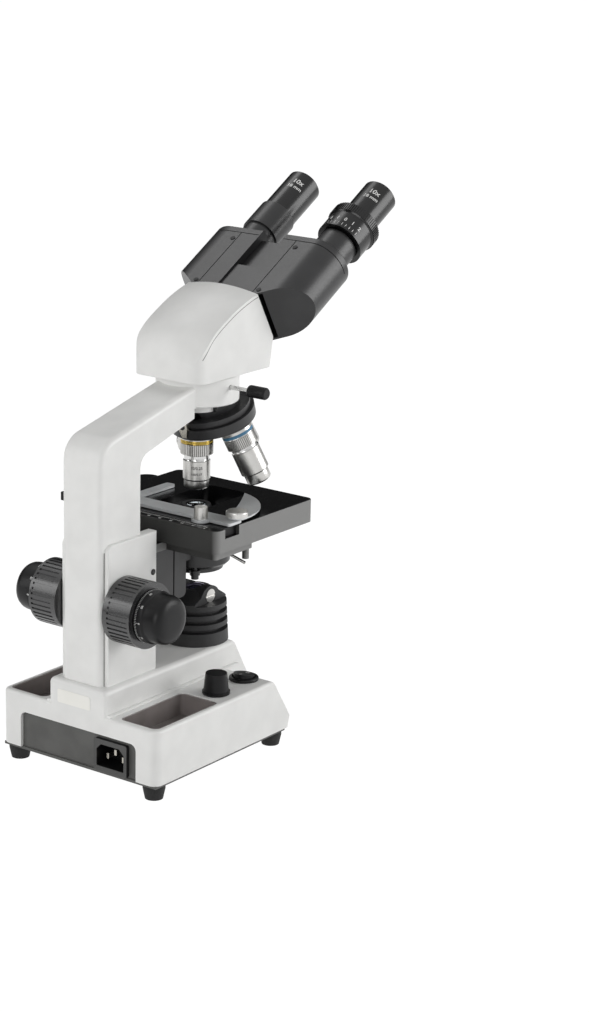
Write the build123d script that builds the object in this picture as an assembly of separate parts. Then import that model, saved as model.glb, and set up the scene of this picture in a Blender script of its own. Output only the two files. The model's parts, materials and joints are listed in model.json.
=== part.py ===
from build123d import *
import os
from math import acos, asin, atan2, cos, degrees, pi, radians, sin, tan

# A binocular compound microscope. Millimetres, +Z up, the user sits on the -Y side.
# The origin is where the optical axis meets the table.

# Fits
running_gap = 0.05
sliding_gap = 0.3
seat_gap = 0.1

# How far a cut runs past the face that it opens, and how near an edge lies to the place it is looked up by
cut_over = 1.0
edge_near = 0.1

# Base casting, from its underside to the shelf and the raised deck
foot_height = 10.0
plate_thickness = 2.0
base_bottom = foot_height + plate_thickness
base_half_width = 71.2
base_back = 131.4
shelf_top = 52.5
wing_front = -2.0
wing_toe = -22.5
toe_height = 21.0
toe_undercut = 2.5
deck_half_width = 26.0
deck_top = 71.5
nose_front = -13.0
nose_toe = -42.0
base_wall = 3.2
base_corner = 7.0
base_edge = 2.5
deck_edge = 4.0

# Feet
foot_inset = 9.3
foot_front_inset = 8.0
foot_x = base_half_width - foot_inset
foot_back = base_back - foot_inset
foot_front = wing_toe + toe_undercut + foot_front_inset
foot_top_radius = 8.0
foot_bottom_radius = 6.4
foot_rim = 2.5
plate_margin = 1.4

# Storage trays
tray_inner_gap = 8.0
tray_outer_gap = 0.2
tray_back_gap = 1.2
tray_length = 70.0
tray_inner = deck_half_width + tray_inner_gap
tray_outer = base_half_width - base_wall - tray_outer_gap
tray_back = base_back - base_wall - tray_back_gap
tray_front = tray_back - tray_length
tray_depth = 15.0
tray_wall = 1.5
tray_corner = 5.0
tray_recess = 0.5

# Rear panel and mains inlet
panel_inset = 18.2
panel_half_width = base_half_width - panel_inset
panel_top = 39.0
panel_thickness = 2.0
panel_recess = 2.5
inlet_inset = 22.6
inlet_x = inlet_inset - panel_half_width
inlet_z = 24.4
inlet_flange_width = 29.5
inlet_flange_height = 23.4
inlet_flange_thickness = 3.2
inlet_flange_corner = 1.5
inlet_body_width = 27.4
inlet_body_height = 20.4
inlet_body_depth = 22.0
inlet_mouth_width = 24.4
inlet_mouth_height = 16.4
inlet_mouth_depth = 17.0
inlet_mouth_chamfer = 4.0
pin_width = 4.0
pin_thickness = 2.0
pin_recess = 6.0
pin_pitch = 7.0
earth_pin_rise = 4.0

# Brightness dial and rocker switch on the left wing
dial_inset = 17.2
dial_x = dial_inset - base_half_width
dial_y = 43.4
dial_base_radius = 10.0
dial_top_radius = 7.7
dial_height = 15.5
dial_lip = 2.0
dial_step = 0.8
flute_depth = 0.7
flute_width = 1.4
dial_flutes = 18
dial_stem_radius = 3.0
control_radius = 8.0
control_height = 9.0
switch_inset = 20.2
switch_x = switch_inset - base_half_width
switch_y = 7.0
switch_bezel_radius = 10.8
switch_bezel_height = 2.2
switch_bezel_round = 1.0
switch_body_radius = 9.4
switch_body_depth = 14.0
rocker_radius = 7.8
rocker_thickness = 5.0
rocker_tilt = 8.0
rocker_gap = 0.9
rocker_drop = 0.5

# Arm: column, sloping limb and the round neck under the head
arm_half_width = 17.7
arm_back_step = 4.4
arm_depth = 42.0
arm_back = base_back - arm_back_step
arm_front = arm_back - arm_depth
arm_rise = 13.3
arm_inner_rise = 15.5
arm_back_round = 19.0
arm_inner_round = 11.0
arm_edge = 4.0
neck_radius = 30.0
neck_bottom = 251.5
neck_height = 19.0
neck_top = neck_bottom + neck_height
neck_round = 1.5
boss_radius = 14.5
boss_height = 7.0
boss_bottom = neck_bottom - boss_height
shoulder_drop = 27.1
arm_shoulder = neck_top - shoulder_drop
inner_corner_drop = 16.5
arm_inner_corner = boss_bottom - inner_corner_drop
collar_radius = 22.0
collar_depth = 11.0
beam_radius = 10.0

# Focusing channel in the column
channel_half_width = 11.0
channel_back = 118.0
channel_bottom = 80.0
channel_top = 168.0

# Focus covers on both flanks of the column
cover_half_width = 21.0
cover_front = 70.5
cover_back = 123.0
cover_top = 173.0
cover_return = 13.4
cover_corner = 6.0
cover_round = 1.0

# Focus drive: coaxial shafts, rack and pinion
focus_y = 107.0
focus_z = 125.0
rack_module = 1.0
pinion_teeth = 12
pinion_width = 10.0
tooth_backlash = 0.5
pressure_angle = 20.0
pinion_addendum = 0.9
pinion_dedendum = 1.15
rack_addendum = 0.7
rack_dedendum = 1.25
rack_sink = 0.2
coarse_shaft_radius = 4.5
fine_shaft_radius = 2.5
coarse_knob_radius = 23.5
coarse_knob_length = 24.0
coarse_ribs = 40
fine_knob_radius = 18.8
fine_knob_length = 21.5
fine_dial_length = 6.0
knob_gap = 0.5
knob_collar = 4.0
knob_rim = 2.0
rib_depth = 0.9
rib_gap = 1.5
fine_rounding = 3.5
fine_grip_step = 0.6
fine_shaft_inset = 1.0

# Heights of the stage, which the carrier and the condenser hang from
stage_top = 176.5
stage_skirt = 17.0
bed_thickness = 6.2

# Coarse slide and stage carrier
slide_front = 72.0
slide_drop = 7.0
slide_height = 52.0
tongue_half_width = 5.0
tongue_depth = 5.0
carrier_half_width = 13.0
carrier_front = 41.0
carrier_height = 40.0
carrier_top = stage_top - stage_skirt - sliding_gap - bed_thickness
carrier_bottom = carrier_top - carrier_height
slide_bottom = carrier_bottom - slide_drop
carrier_corner = 1.5

# Condenser on its own carrier
condenser_plate_front = 27.5
condenser_radius = 25.0
condenser_clearance = 1.6
condenser_neck_height = 18.9
condenser_drum_height = 25.5
condenser_top = stage_top - condenser_clearance
condenser_shoulder = condenser_top - condenser_neck_height
condenser_bottom = condenser_shoulder - condenser_drum_height
condenser_neck_radius = 12.0
condenser_lens_radius = 7.5
condenser_ring_radius = 28.6
condenser_ring_height = 7.5
condenser_ring_drop = 4.5
condenser_ring_top = condenser_shoulder - condenser_ring_drop
condenser_ring_bottom = condenser_ring_top - condenser_ring_height
condenser_plate_drop = 4.0
condenser_plate_top = condenser_ring_bottom - condenser_plate_drop
condenser_plate_round = 4.0
condenser_tongue_rise = 5.0
condenser_bevel = 2.0
condenser_wall = 3.0
condenser_nose_height = 5.0
condenser_nose_rim = 3.0
condenser_lens_proud = 1.2
condenser_lens_sag = 2.5
iris_rise = 8.0
iris_z = condenser_bottom + iris_rise
iris_height = 3.0
iris_rod_radius = 1.1
iris_rod_length = 14.0
iris_half_angle = 30.0
iris_turn = 195.0
iris_aperture = 6.0
iris_straight = 2.0
iris_drop = 5.0
clamp_screw_radius = 1.6
clamp_head_radius = 4.2
clamp_head_length = 8.0
clamp_angle = 55.0
filter_ring_radius = 20.0
filter_ring_height = 3.5
filter_glass_radius = 16.0
filter_post_radius = 1.8
filter_post_x = -14.0
filter_post_y = 18.5
filter_post_head = 2.7
filter_boss_wall = 2.0
filter_lip = 2.0
filter_floor = 1.0
filter_recess = 0.5

# Stage
stage_half_width = 63.0
stage_front = -58.0
stage_back = 56.0
stage_thickness = 5.5
stage_wall = 3.0
stage_corner = 5.0
groove_front = 31.0
groove_back = 47.0
groove_depth = 7.0
window_half_width = 19.0
window_front = -38.0
window_back = 27.0
bed_inset = 6.0
bed_half_width = stage_half_width - bed_inset
bed_front = 6.0
bed_back = 50.0
rail_x = 40.0
rail_width = 9.0
bed_corner = 3.0
bed_clearance = 1.5
bed_stud_radius = 2.5
bed_stud_drop = 8.0
bed_stud_inset = 4.0
bed_stud_y = 10.0
stage_edge = 0.8
window_corner = 8.0
stage_forward = 14.0
stage_backward = 8.0

# Slide holder
bar_overhang = 26.0
bar_left = stage_wall - stage_half_width
bar_right = stage_half_width + bar_overhang
bar_recess = 0.5
holder_thickness = 2.0
holder_back = 41.0
holder_corner = 2.0
holder_margin = 1.0
holder_left = holder_margin - stage_half_width
holder_right = 40.0
holder_front = 26.0
holder_arm_width = 8.0
holder_arm_reach = -16.0
holder_screw_x = 37.5
holder_screw_radius = 4.8
holder_screw_height = 8.5
holder_stud_radius = 1.5
holder_screw_y = 42.0
holder_spacer_radius = 4.2
holder_screw_flutes = 20
clip_inset = 5.0
clip_x = holder_left + clip_inset
clip_y = 26.0
clip_cap_radius = 8.0
clip_cap_height = 4.0
clip_reach = 52.0
clip_lean = 33.0
clip_thickness = 1.2
clip_root = 6.5
clip_bulge_x = 1.0
clip_bulge_reach = 28.5
clip_hollow_x = 17.0
clip_hollow_reach = 23.5
clip_stud_radius = 2.0
clip_cap_round = 1.2

# Coaxial stage drive on the right flank
drive_offset = 8.0
drive_x = stage_half_width + drive_offset
drive_y = -30.0
drive_hub_radius = 11.0
drive_shaft_radius = 2.5
drive_tube_radius = 4.0
y_knob_radius = 11.5
x_knob_radius = 9.5
drive_knob_length = 14.0
drive_drop = 18.0
drive_hub_drop = 2.5
drive_hub_round = 1.5
drive_tube_drop = 6.0
drive_flutes = 24
grip_groove = 1.2

# Revolving nosepiece
turret_tilt = 18.0
seat_radius = 20.0
seat_drop = 28.0
seat_z = neck_bottom - seat_drop
turret_radius = 32.0
turret_rim = 8.0
turret_apex = 5.0
turret_bevel = 2.0
turret_pin_radius = 4.0
mount_flange_radius = 29.5
mount_flange_height = 4.5
mount_hub_radius = 22.0
detent_gap = 0.4
detent_thickness = 1.0
detent_tip = 6.0
detent_top = 20.0
detent_hole = 15.0
detent_hole_radius = 1.6
detent_width = 9.0
detent_tip_width = 4.0
thread_radius = 10.1
thread_length = 4.0

# Objectives: length below the shoulder, barrel radius, nose radius and nose length of each
scan_length = 27.0
scan_barrel = 9.8
scan_nose = 8.6
scan_nose_length = 5.0
low_length = 37.5
low_barrel = 9.9
low_nose = 9.1
low_nose_length = 8.0
high_length = 43.4
high_barrel = 10.6
high_nose = 7.4
high_nose_length = 8.5
oil_length = 44.0
oil_barrel = 10.6
oil_nose = 5.6
oil_nose_length = 9.5
knurl_radius = 12.3
knurl_length = 8.0
band_length = 4.0
knurl_step = 0.4
lens_bore = 3.0
lens_thickness = 3.4
lens_set_back = 0.6
tip_bevel = 1.5
tip_step = 0.8
barrel_taper = 2.0

# Head housing
head_half_width = 27.5
head_gap = 1.0
head_bottom = neck_top + head_gap
head_back = 35.5
head_corner = 9.0
head_front = 46.0
head_chin = -17.4
head_brow = 22.5
head_crest = 28.0
head_throat = -47.0
flank_back_height = 12.5
flank_heel_y = 34.6
flank_heel_height = 17.5
flank_shoulder_y = 3.2
flank_shoulder_height = 34.5
ridge_back_height = 15.5
ridge_heel_y = 31.3
ridge_heel_height = 23.9
ridge_shoulder_y = 7.5
ridge_shoulder_height = 43.0

# Binocular tubes: x across, n above the inclined viewing axis, t along it
view_angle = 30.0
prism_rise = 10.2
prism_z = head_bottom + prism_rise
eye_x = 35.0
tube_start = 47.5
tube_end = 116.0
tube_round_x = 38.0
tube_round_n = 3.5
tube_round = 21.5
tube_slant_x = 28.0
tube_slant = 0.69
right_edge = 8.5
left_edge = -12.5
tongue_edge = -12.0
tongue_low = 20.0
tongue_high = 23.4
notch_start = 77.0
bridge_half_width = 24.0
bridge_low = -16.0
bridge_high = 19.0
bridge_end = 110.0
eyes_in = 7.5
bridge_room = 1.0
tube_bevel = 1.5
seam_width = 0.7
seam_depth = 0.5
seam_x = 25.0
seam_t = 109.0
bore_start = 126.0
eye_tube_radius = 14.8
eye_tube_end = 139.0
eye_thread_radius = 12.9
eye_thread_end = 152.0
right_neck_radius = 13.4
right_sleeve_start = 136.0
right_sleeve_end = 160.0
diopter_radius = 18.2
diopter_start = 140.3
diopter_ring_end = 156.0
diopter_grip_radius = 19.2
diopter_bevel = 1.2
diopter_end = 165.7
eyepiece_radius = 13.5
eyepiece_end = 200.0
eyepiece_barrel_radius = 11.6
eyepiece_barrel_start = 128.0
eyepiece_bore = 8.0
eye_lens_depth = 4.0
eye_lens_thickness = 4.0
eyepiece_bevel = 1.0

# Head lock screw
lock_drop = 6.0
lock_z = neck_top - lock_drop
lock_shank_radius = 1.8
lock_knob_radius = 5.0
lock_knob_start = 43.0
lock_knob_end = 62.0

# Lamp on the deck
lamp_radius = 24.6
lamp_taper = 1.6
lamp_base_height = 9.5
lamp_fin_height = 3.6
lamp_groove_height = 3.2
lamp_groove_depth = 3.5
lamp_fins = 3
lamp_barrel_radius = 11.4
lamp_barrel_half_length = 14.0
lamp_screw_radius = 5.0
lamp_lens_radius = 8.0
lamp_cap_rim = 1.5
lamp_barrel_rise = 1.0
lamp_dome_drop = 3.0
lamp_screw_rise = 4.0
lamp_screw_depth = 2.0
lamp_screw_proud = 0.4
lamp_slot_depth = 0.6
lamp_slot_width = 1.0
led_height = 3.0
lens_sag = 1.8
lens_edge = 3.0
lens_recess = 1.0

view = Plane(
    origin=(0, 0, prism_z),
    x_dir=(1, 0, 0),
    z_dir=(0, -cos(radians(view_angle)), sin(radians(view_angle))),
)


def box_between(low, high):
    size = [b - a for a, b in zip(low, high)]
    centre = [(a + b) / 2 for a, b in zip(low, high)]
    return Pos(*centre) * Box(*size)


def side_face(points):
    return make_face(Plane.YZ * Polyline(*points, close=True))


def side_solid(points, half_width):
    return extrude(side_face(points), half_width, both=True)


def rod(radius, start, end):
    along = Vector(*end) - Vector(*start)
    plane = Plane(origin=start, z_dir=along)
    return plane * Cylinder(radius, along.length, align=(Align.CENTER, Align.CENTER, Align.MIN))


def pole(radius, bottom, top, x=0.0, y=0.0):
    return rod(radius, (x, y, bottom), (x, y, top))


def cross_rod(radius, left, right, y, z):
    return rod(radius, (left, y, z), (right, y, z))


def turned(points):
    return revolve(make_face(Plane.XZ * Polyline(*points, close=True)), Axis.Z)


def rounded_plan(left, right, front, back, radius, bottom, top):
    outline = Pos((left + right) / 2, (front + back) / 2) * RectangleRounded(
        right - left, back - front, radius
    )
    return Pos(0, 0, bottom) * extrude(outline, top - bottom)


def mirrored(shape):
    return mirror(shape, about=Plane.YZ)


def save(name, shape):
    export_step(shape, f"parts/{name}.step")


os.makedirs("parts", exist_ok=True)

# Stand
wing_points = [
    (base_back, base_bottom),
    (base_back, shelf_top),
    (wing_front, shelf_top),
    (wing_toe, toe_height),
    (wing_toe + toe_undercut, base_bottom),
]
nose_points = [
    (base_back, base_bottom),
    (base_back, deck_top),
    (nose_front, deck_top),
    (nose_toe, toe_height),
    (nose_toe + toe_undercut, base_bottom),
]


def cast_block(points, half_width, corner, edge):
    block = side_solid(points, half_width)
    uprights = block.edges().filter_by(Axis.Z)
    block = fillet(uprights, corner)
    rim = block.faces().sort_by(Axis.Z)[-1].edges()
    return fillet(rim, edge)


def cast_hollow(points, half_width):
    # The underside is carried down by one wall before the inset, so the hollow is open below
    lowered = [(y, z - base_wall if z == base_bottom else z) for y, z in points]
    inset = offset(side_face(lowered), -base_wall, kind=Kind.INTERSECTION)
    return extrude(inset, half_width - base_wall, both=True)


base = cast_block(wing_points, base_half_width, base_corner, base_edge)
base += cast_block(nose_points, deck_half_width, base_edge, deck_edge)
base -= cast_hollow(wing_points, base_half_width)
base -= cast_hollow(nose_points, deck_half_width)
rear_opening = box_between(
    (-panel_half_width, base_back - 2 * base_wall, base_bottom - base_wall),
    (panel_half_width, base_back + base_wall, panel_top),
)
base -= fillet(rear_opening.edges().filter_by(Axis.Y).sort_by(Axis.Z)[-2:], tray_corner)


def tray_block(side, inset, bottom, top):
    edges = sorted((side * tray_inner, side * tray_outer))
    return rounded_plan(
        edges[0] + inset, edges[1] - inset, tray_front + inset, tray_back - inset,
        tray_corner - inset, bottom, top,
    )


tray_top = shelf_top - tray_recess
tray_floor = tray_top - tray_depth
trays = {}
for name, side in (("left_tray", -1), ("right_tray", 1)):
    base -= tray_block(side, 0, shelf_top - 2 * base_wall, shelf_top + base_wall)
    shell = tray_block(side, seat_gap, tray_floor - tray_wall, tray_top)
    trays[name] = shell - tray_block(side, seat_gap + tray_wall, tray_floor, tray_top + tray_wall)

for radius, x, y in (
    (dial_stem_radius + sliding_gap, dial_x, dial_y),
    (switch_body_radius + seat_gap, switch_x, switch_y),
):
    base -= pole(radius, shelf_top - 2 * base_wall, shelf_top + base_wall, x, y)
save("base_casting", base)
for name, tray in trays.items():
    save(name, tray)

bottom_plate = box_between(
    (plate_margin - base_half_width, wing_toe + toe_undercut + plate_margin, foot_height),
    (base_half_width - plate_margin, base_back - plate_margin, base_bottom),
)
bottom_plate += box_between(
    (plate_margin - deck_half_width, nose_toe + toe_undercut + plate_margin, foot_height),
    (deck_half_width - plate_margin, base_back - plate_margin, base_bottom),
)
save("bottom_plate", bottom_plate)

foot = turned([
    (0, 0),
    (foot_bottom_radius, 0),
    (foot_top_radius, foot_height - foot_rim),
    (foot_top_radius, foot_height),
    (0, foot_height),
])
foot_places = [(x, y) for x in (-foot_x, foot_x) for y in (foot_front, foot_back)]
save("rubber_feet", Compound(children=[Pos(x, y, 0) * foot for x, y in foot_places]))

# The panel stands on the bottom plate, set back into the rear opening
panel_face = base_back - panel_recess
panel = box_between(
    (seat_gap - panel_half_width, panel_face - panel_thickness, base_bottom),
    (panel_half_width - seat_gap, panel_face, panel_top - seat_gap),
)
panel = fillet(panel.edges().filter_by(Axis.Y).sort_by(Axis.Z)[-2:], tray_corner - seat_gap)


def inlet_block(width, height, front, back):
    return box_between(
        (inlet_x - width / 2, front, inlet_z - height / 2),
        (inlet_x + width / 2, back, inlet_z + height / 2),
    )


panel -= inlet_block(
    inlet_body_width + 2 * seat_gap, inlet_body_height + 2 * seat_gap,
    panel_face - 2 * panel_thickness, base_back,
)
save("rear_panel", panel)

inlet_face = panel_face + inlet_flange_thickness
inlet = inlet_block(inlet_flange_width, inlet_flange_height, panel_face, inlet_face)
inlet = fillet(inlet.edges().filter_by(Axis.Y), inlet_flange_corner)
inlet += inlet_block(inlet_body_width, inlet_body_height, panel_face - inlet_body_depth, panel_face)
mouth_floor = inlet_face - inlet_mouth_depth
mouth = inlet_block(inlet_mouth_width, inlet_mouth_height, mouth_floor, inlet_face + inlet_mouth_depth)
mouth = chamfer(mouth.edges().filter_by(Axis.Y).sort_by(Axis.Z)[-2:], inlet_mouth_chamfer)
inlet -= mouth
save("mains_inlet", inlet)

pin_places = [(-pin_pitch, -earth_pin_rise / 2), (0, earth_pin_rise / 2), (pin_pitch, -earth_pin_rise / 2)]
pins = []
for dx, dz in pin_places:
    low = (inlet_x + dx - pin_thickness / 2, mouth_floor, inlet_z + dz - pin_width / 2)
    high = (inlet_x + dx + pin_thickness / 2, inlet_face - pin_recess, inlet_z + dz + pin_width / 2)
    pins.append(box_between(low, high))
save("inlet_pins", Compound(children=pins))

# Brightness dial: a fluted cone on a stem that turns in the control under the shelf
shelf_underside = shelf_top - base_wall
control = pole(control_radius, shelf_underside - control_height, shelf_underside, dial_x, dial_y)
stem_bottom = shelf_underside - control_height / 2
control -= pole(dial_stem_radius + running_gap, stem_bottom, shelf_top, dial_x, dial_y)
save("dial_control", control)
dial_bottom = shelf_top + sliding_gap
dial_cone = turned([
    (0, dial_bottom),
    (dial_base_radius, dial_bottom),
    (dial_base_radius, dial_bottom + dial_lip),
    (dial_base_radius - dial_step, dial_bottom + dial_lip),
    (dial_top_radius, shelf_top + dial_height),
    (0, shelf_top + dial_height),
])
flute_slope = degrees(atan2(dial_base_radius - dial_step - dial_top_radius, dial_height - dial_lip))
flute = Pos(dial_base_radius, 0, dial_bottom + dial_lip) * Rot(0, -flute_slope, 0) * Box(
    2 * flute_depth, flute_width, 2 * dial_height, align=(Align.CENTER, Align.CENTER, Align.MIN)
)
for step in range(dial_flutes):
    dial_cone -= Rot(0, 0, 360 * step / dial_flutes) * flute
dial = Pos(dial_x, dial_y, 0) * dial_cone
dial += pole(dial_stem_radius, stem_bottom + sliding_gap, dial_bottom, dial_x, dial_y)
save("brightness_dial", dial)

# Round rocker switch
bezel_bore = rocker_radius + rocker_gap
switch_top = shelf_top + switch_bezel_height
switch = pole(switch_body_radius, shelf_top - switch_body_depth, shelf_top, switch_x, switch_y)
switch += pole(switch_bezel_radius, shelf_top, switch_top, switch_x, switch_y)
switch = fillet(switch.edges().sort_by(Axis.Z)[-1:], switch_bezel_round)
switch -= pole(bezel_bore, shelf_top - rocker_thickness, switch_top + cut_over, switch_x, switch_y)
save("switch_body", switch)
rocker_pivot_z = switch_top - rocker_drop
rocker = Rot(rocker_tilt, 0, 0) * Cylinder(rocker_radius, rocker_thickness)
save("switch_rocker", Pos(switch_x, switch_y, rocker_pivot_z) * rocker)

# Arm
arm_top_line = arm_shoulder + arm_back * tan(radians(arm_rise))
limb_front_y = (arm_top_line - neck_top) / tan(radians(arm_rise))
inner_line = arm_inner_corner + arm_front * tan(radians(arm_inner_rise))
limb_under_y = (inner_line - boss_bottom) / tan(radians(arm_inner_rise))
arm_outline = [
    (arm_front, deck_top),
    (arm_back, deck_top),
    (arm_back, arm_shoulder),
    (limb_front_y, neck_top),
    (0, neck_top),
    (0, boss_bottom),
    (limb_under_y, boss_bottom),
    (arm_front, arm_inner_corner),
]
arm = side_solid(arm_outline, arm_half_width)


def cross_edge(shape, y, z):
    return [
        e for e in shape.edges().filter_by(Axis.X)
        if abs(e.center().Y - y) + abs(e.center().Z - z) < edge_near
    ]


arm = fillet(cross_edge(arm, arm_back, arm_shoulder), arm_back_round)
arm = fillet(cross_edge(arm, arm_front, arm_inner_corner), arm_inner_round)
back_edges = [
    e for e in arm.edges()
    if abs(abs(e.center().X) - arm_half_width) < edge_near
    and e.center().Z > deck_top + edge_near
    and (e.center().Y > arm_back - arm_back_round or e.center().Z > arm_shoulder)
    and e.center().Y > limb_front_y
]
arm = fillet(back_edges, arm_edge)
under_limb = box_between(
    (-arm_half_width - cut_over, -boss_radius, 0), (arm_half_width + cut_over, limb_under_y, neck_bottom)
)
arm -= under_limb
neck = pole(neck_radius, neck_bottom, neck_top)
neck = fillet(neck.edges().sort_by(Axis.Z)[:1], neck_round)
arm += neck
arm += pole(boss_radius, boss_bottom, neck_bottom)
arm -= pole(collar_radius + seat_gap, neck_top - collar_depth, neck_top + cut_over)
arm -= pole(beam_radius, boss_bottom - cut_over, neck_top)
arm -= cross_rod(
    lock_shank_radius + running_gap, -neck_radius - cut_over, cut_over - collar_radius, 0, lock_z
)
arm -= box_between(
    (-channel_half_width, cover_front, channel_bottom), (channel_half_width, channel_back, channel_top)
)
bore_end = cover_half_width + cut_over
shaft_bore = cross_rod(coarse_shaft_radius + running_gap, -bore_end, bore_end, focus_y, focus_z)
arm -= shaft_bore
save("arm", arm)

# Focus covers: a flank plate with a return in front of the column
cover = box_between((arm_half_width, cover_front, deck_top), (cover_half_width, cover_back, cover_top))
cover += box_between((cover_return, cover_front, deck_top), (arm_half_width, arm_front, cover_top))
cover = fillet(cross_edge(cover, cover_back, cover_top), cover_corner)
outer_rim = [
    e for e in cover.edges()
    if abs(e.center().X - cover_half_width) < edge_near and e.center().Z > deck_top + edge_near
]
cover = fillet(outer_rim, cover_round)
cover -= shaft_bore
save("right_focus_cover", cover)
save("left_focus_cover", mirrored(cover))

# Lamp: a finned housing on the deck, a flat-sided cap with a cross barrel and the collector lens
lamp_height = lamp_base_height + lamp_fins * (lamp_groove_height + lamp_fin_height)
lamp_top = deck_top + lamp_height


def lamp_edge(z):
    return lamp_radius - lamp_taper * (z - deck_top) / lamp_height


lamp = turned([
    (0, deck_top), (lamp_radius, deck_top), (lamp_edge(lamp_top), lamp_top), (0, lamp_top),
])
for fin in range(lamp_fins):
    groove_low = deck_top + lamp_base_height + fin * (lamp_groove_height + lamp_fin_height)
    groove_high = groove_low + lamp_groove_height
    groove = pole(lamp_radius + cut_over, groove_low, groove_high)
    lamp -= groove - pole(lamp_edge(lamp_top) - lamp_groove_depth, groove_low, groove_high)
led_z = deck_top + lamp_base_height
lamp -= pole(lamp_lens_radius, led_z, lamp_top + cut_over)
save("lamp_housing", lamp)

cap_barrel_z = lamp_top + lamp_barrel_rise
cap_peak = cap_barrel_z + lamp_barrel_radius
cap_dome_top = cap_peak - lamp_dome_drop
cap = turned([
    (0, lamp_top),
    (lamp_edge(lamp_top), lamp_top),
    (lamp_edge(lamp_top), lamp_top + lamp_cap_rim),
    (lamp_barrel_radius, cap_dome_top),
    (0, cap_dome_top),
])
cap &= box_between(
    (-lamp_barrel_half_length, -lamp_radius, lamp_top), (lamp_barrel_half_length, lamp_radius, cap_dome_top)
)
barrel = cross_rod(lamp_barrel_radius, -lamp_barrel_half_length, lamp_barrel_half_length, 0, cap_barrel_z)
cap += barrel & box_between((-lamp_radius, -lamp_radius, lamp_top), (lamp_radius, lamp_radius, cap_peak))
cap -= pole(lamp_lens_radius, lamp_top - cut_over, cap_peak + cut_over)
screw_z = cap_barrel_z + lamp_screw_rise
screw_seat = lamp_barrel_half_length - lamp_screw_depth
screw_face = lamp_barrel_half_length + lamp_screw_proud
screw_slot = box_between(
    (-lamp_slot_depth, -2 * lamp_screw_radius, screw_z - lamp_slot_width / 2),
    (lamp_slot_depth, 2 * lamp_screw_radius, screw_z + lamp_slot_width / 2),
)
lamp_screws = []
for side in (-1, 1):
    cap -= cross_rod(lamp_screw_radius + seat_gap, side * screw_seat, 2 * side * screw_face, 0, screw_z)
    head = cross_rod(lamp_screw_radius, side * screw_seat, side * screw_face, 0, screw_z)
    lamp_screws.append(head - Pos(side * screw_face, 0, 0) * screw_slot)
save("lamp_cap", cap)
save("lamp_screws", Compound(children=lamp_screws))
save("led_module", pole(lamp_lens_radius - seat_gap, led_z, led_z + led_height))
lens_rim = cap_peak - lens_recess - lens_sag


def dome_lens(radius, bottom, rim, sag):
    ball = (radius**2 + sag**2) / (2 * sag)
    half = asin(radius / ball) / 2
    middle = (ball * sin(half), rim + sag - ball * (1 - cos(half)))
    outline = Line((0, bottom), (radius, bottom)) + Line((radius, bottom), (radius, rim))
    outline += ThreePointArc((radius, rim), middle, (0, rim + sag))
    outline += Line((0, rim + sag), (0, bottom))
    return revolve(make_face(Plane.XZ * outline), Axis.Z)


save("collector_lens", dome_lens(lamp_lens_radius - seat_gap, lens_rim - lens_edge, lens_rim, lens_sag))

# Focus drive
pitch_radius = rack_module * pinion_teeth / 2
tooth_pitch = pi * rack_module
root_radius = pitch_radius - pinion_dedendum * rack_module
tip_radius = pitch_radius + pinion_addendum * rack_module
tooth_half = (tooth_pitch / 2 - tooth_backlash / 2) / 2


def involute_half_angle(radius):
    # Half the tooth's angle at a radius, from the involute of the base circle
    base_radius = pitch_radius * cos(radians(pressure_angle))
    if radius < base_radius:
        radius = base_radius
    def inv(r):
        a = acos(base_radius / r)
        return tan(a) - a
    return tooth_half / pitch_radius + inv(pitch_radius) - inv(radius)


def pinion_face():
    levels = [root_radius + (tip_radius - root_radius) * step / 3 for step in range(4)]
    outline = []
    for tooth in range(pinion_teeth):
        # A gap between two teeth faces the rack
        middle = pi + 2 * pi * (tooth + 0.5) / pinion_teeth
        flank = [(r, involute_half_angle(r)) for r in levels]
        outline += [(r * cos(middle - a), r * sin(middle - a)) for r, a in flank]
        outline += [(r * cos(middle + a), r * sin(middle + a)) for r, a in reversed(flank)]
    return make_face(Plane.YZ * Polyline(*outline, close=True))


pinion = Pos(-pinion_width / 2, focus_y, focus_z) * extrude(pinion_face(), pinion_width, dir=(1, 0, 0))
coarse_knob_start = cover_half_width + knob_gap
coarse_knob_end = coarse_knob_start + coarse_knob_length
fine_knob_start = coarse_knob_end + knob_gap
fine_knob_end = fine_knob_start + fine_knob_length
coarse_shaft = cross_rod(coarse_shaft_radius, -coarse_knob_end, coarse_knob_end, focus_y, focus_z) + pinion
coarse_shaft -= cross_rod(fine_shaft_radius + running_gap, -fine_knob_end, fine_knob_end, focus_y, focus_z)
save("coarse_shaft", coarse_shaft)



def knob_plane(start):
    return Plane(origin=(start, focus_y, focus_z), x_dir=(0, 1, 0), z_dir=(1, 0, 0))


knob_disc = Circle(coarse_knob_radius)
ribbed = knob_disc - PolarLocations(coarse_knob_radius, coarse_ribs) * Rectangle(2 * rib_depth, rib_gap)
rib_end = coarse_knob_length - knob_rim
coarse_knob = extrude(knob_disc, knob_collar)
coarse_knob += Pos(0, 0, knob_collar) * extrude(ribbed, rib_end - knob_collar)
coarse_knob += Pos(0, 0, rib_end) * extrude(knob_disc, knob_rim)
coarse_knob -= Cylinder(coarse_shaft_radius, 3 * coarse_knob_length)
coarse_knob = knob_plane(coarse_knob_start) * coarse_knob
save("right_coarse_knob", coarse_knob)
save("left_coarse_knob", mirrored(coarse_knob))

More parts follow.
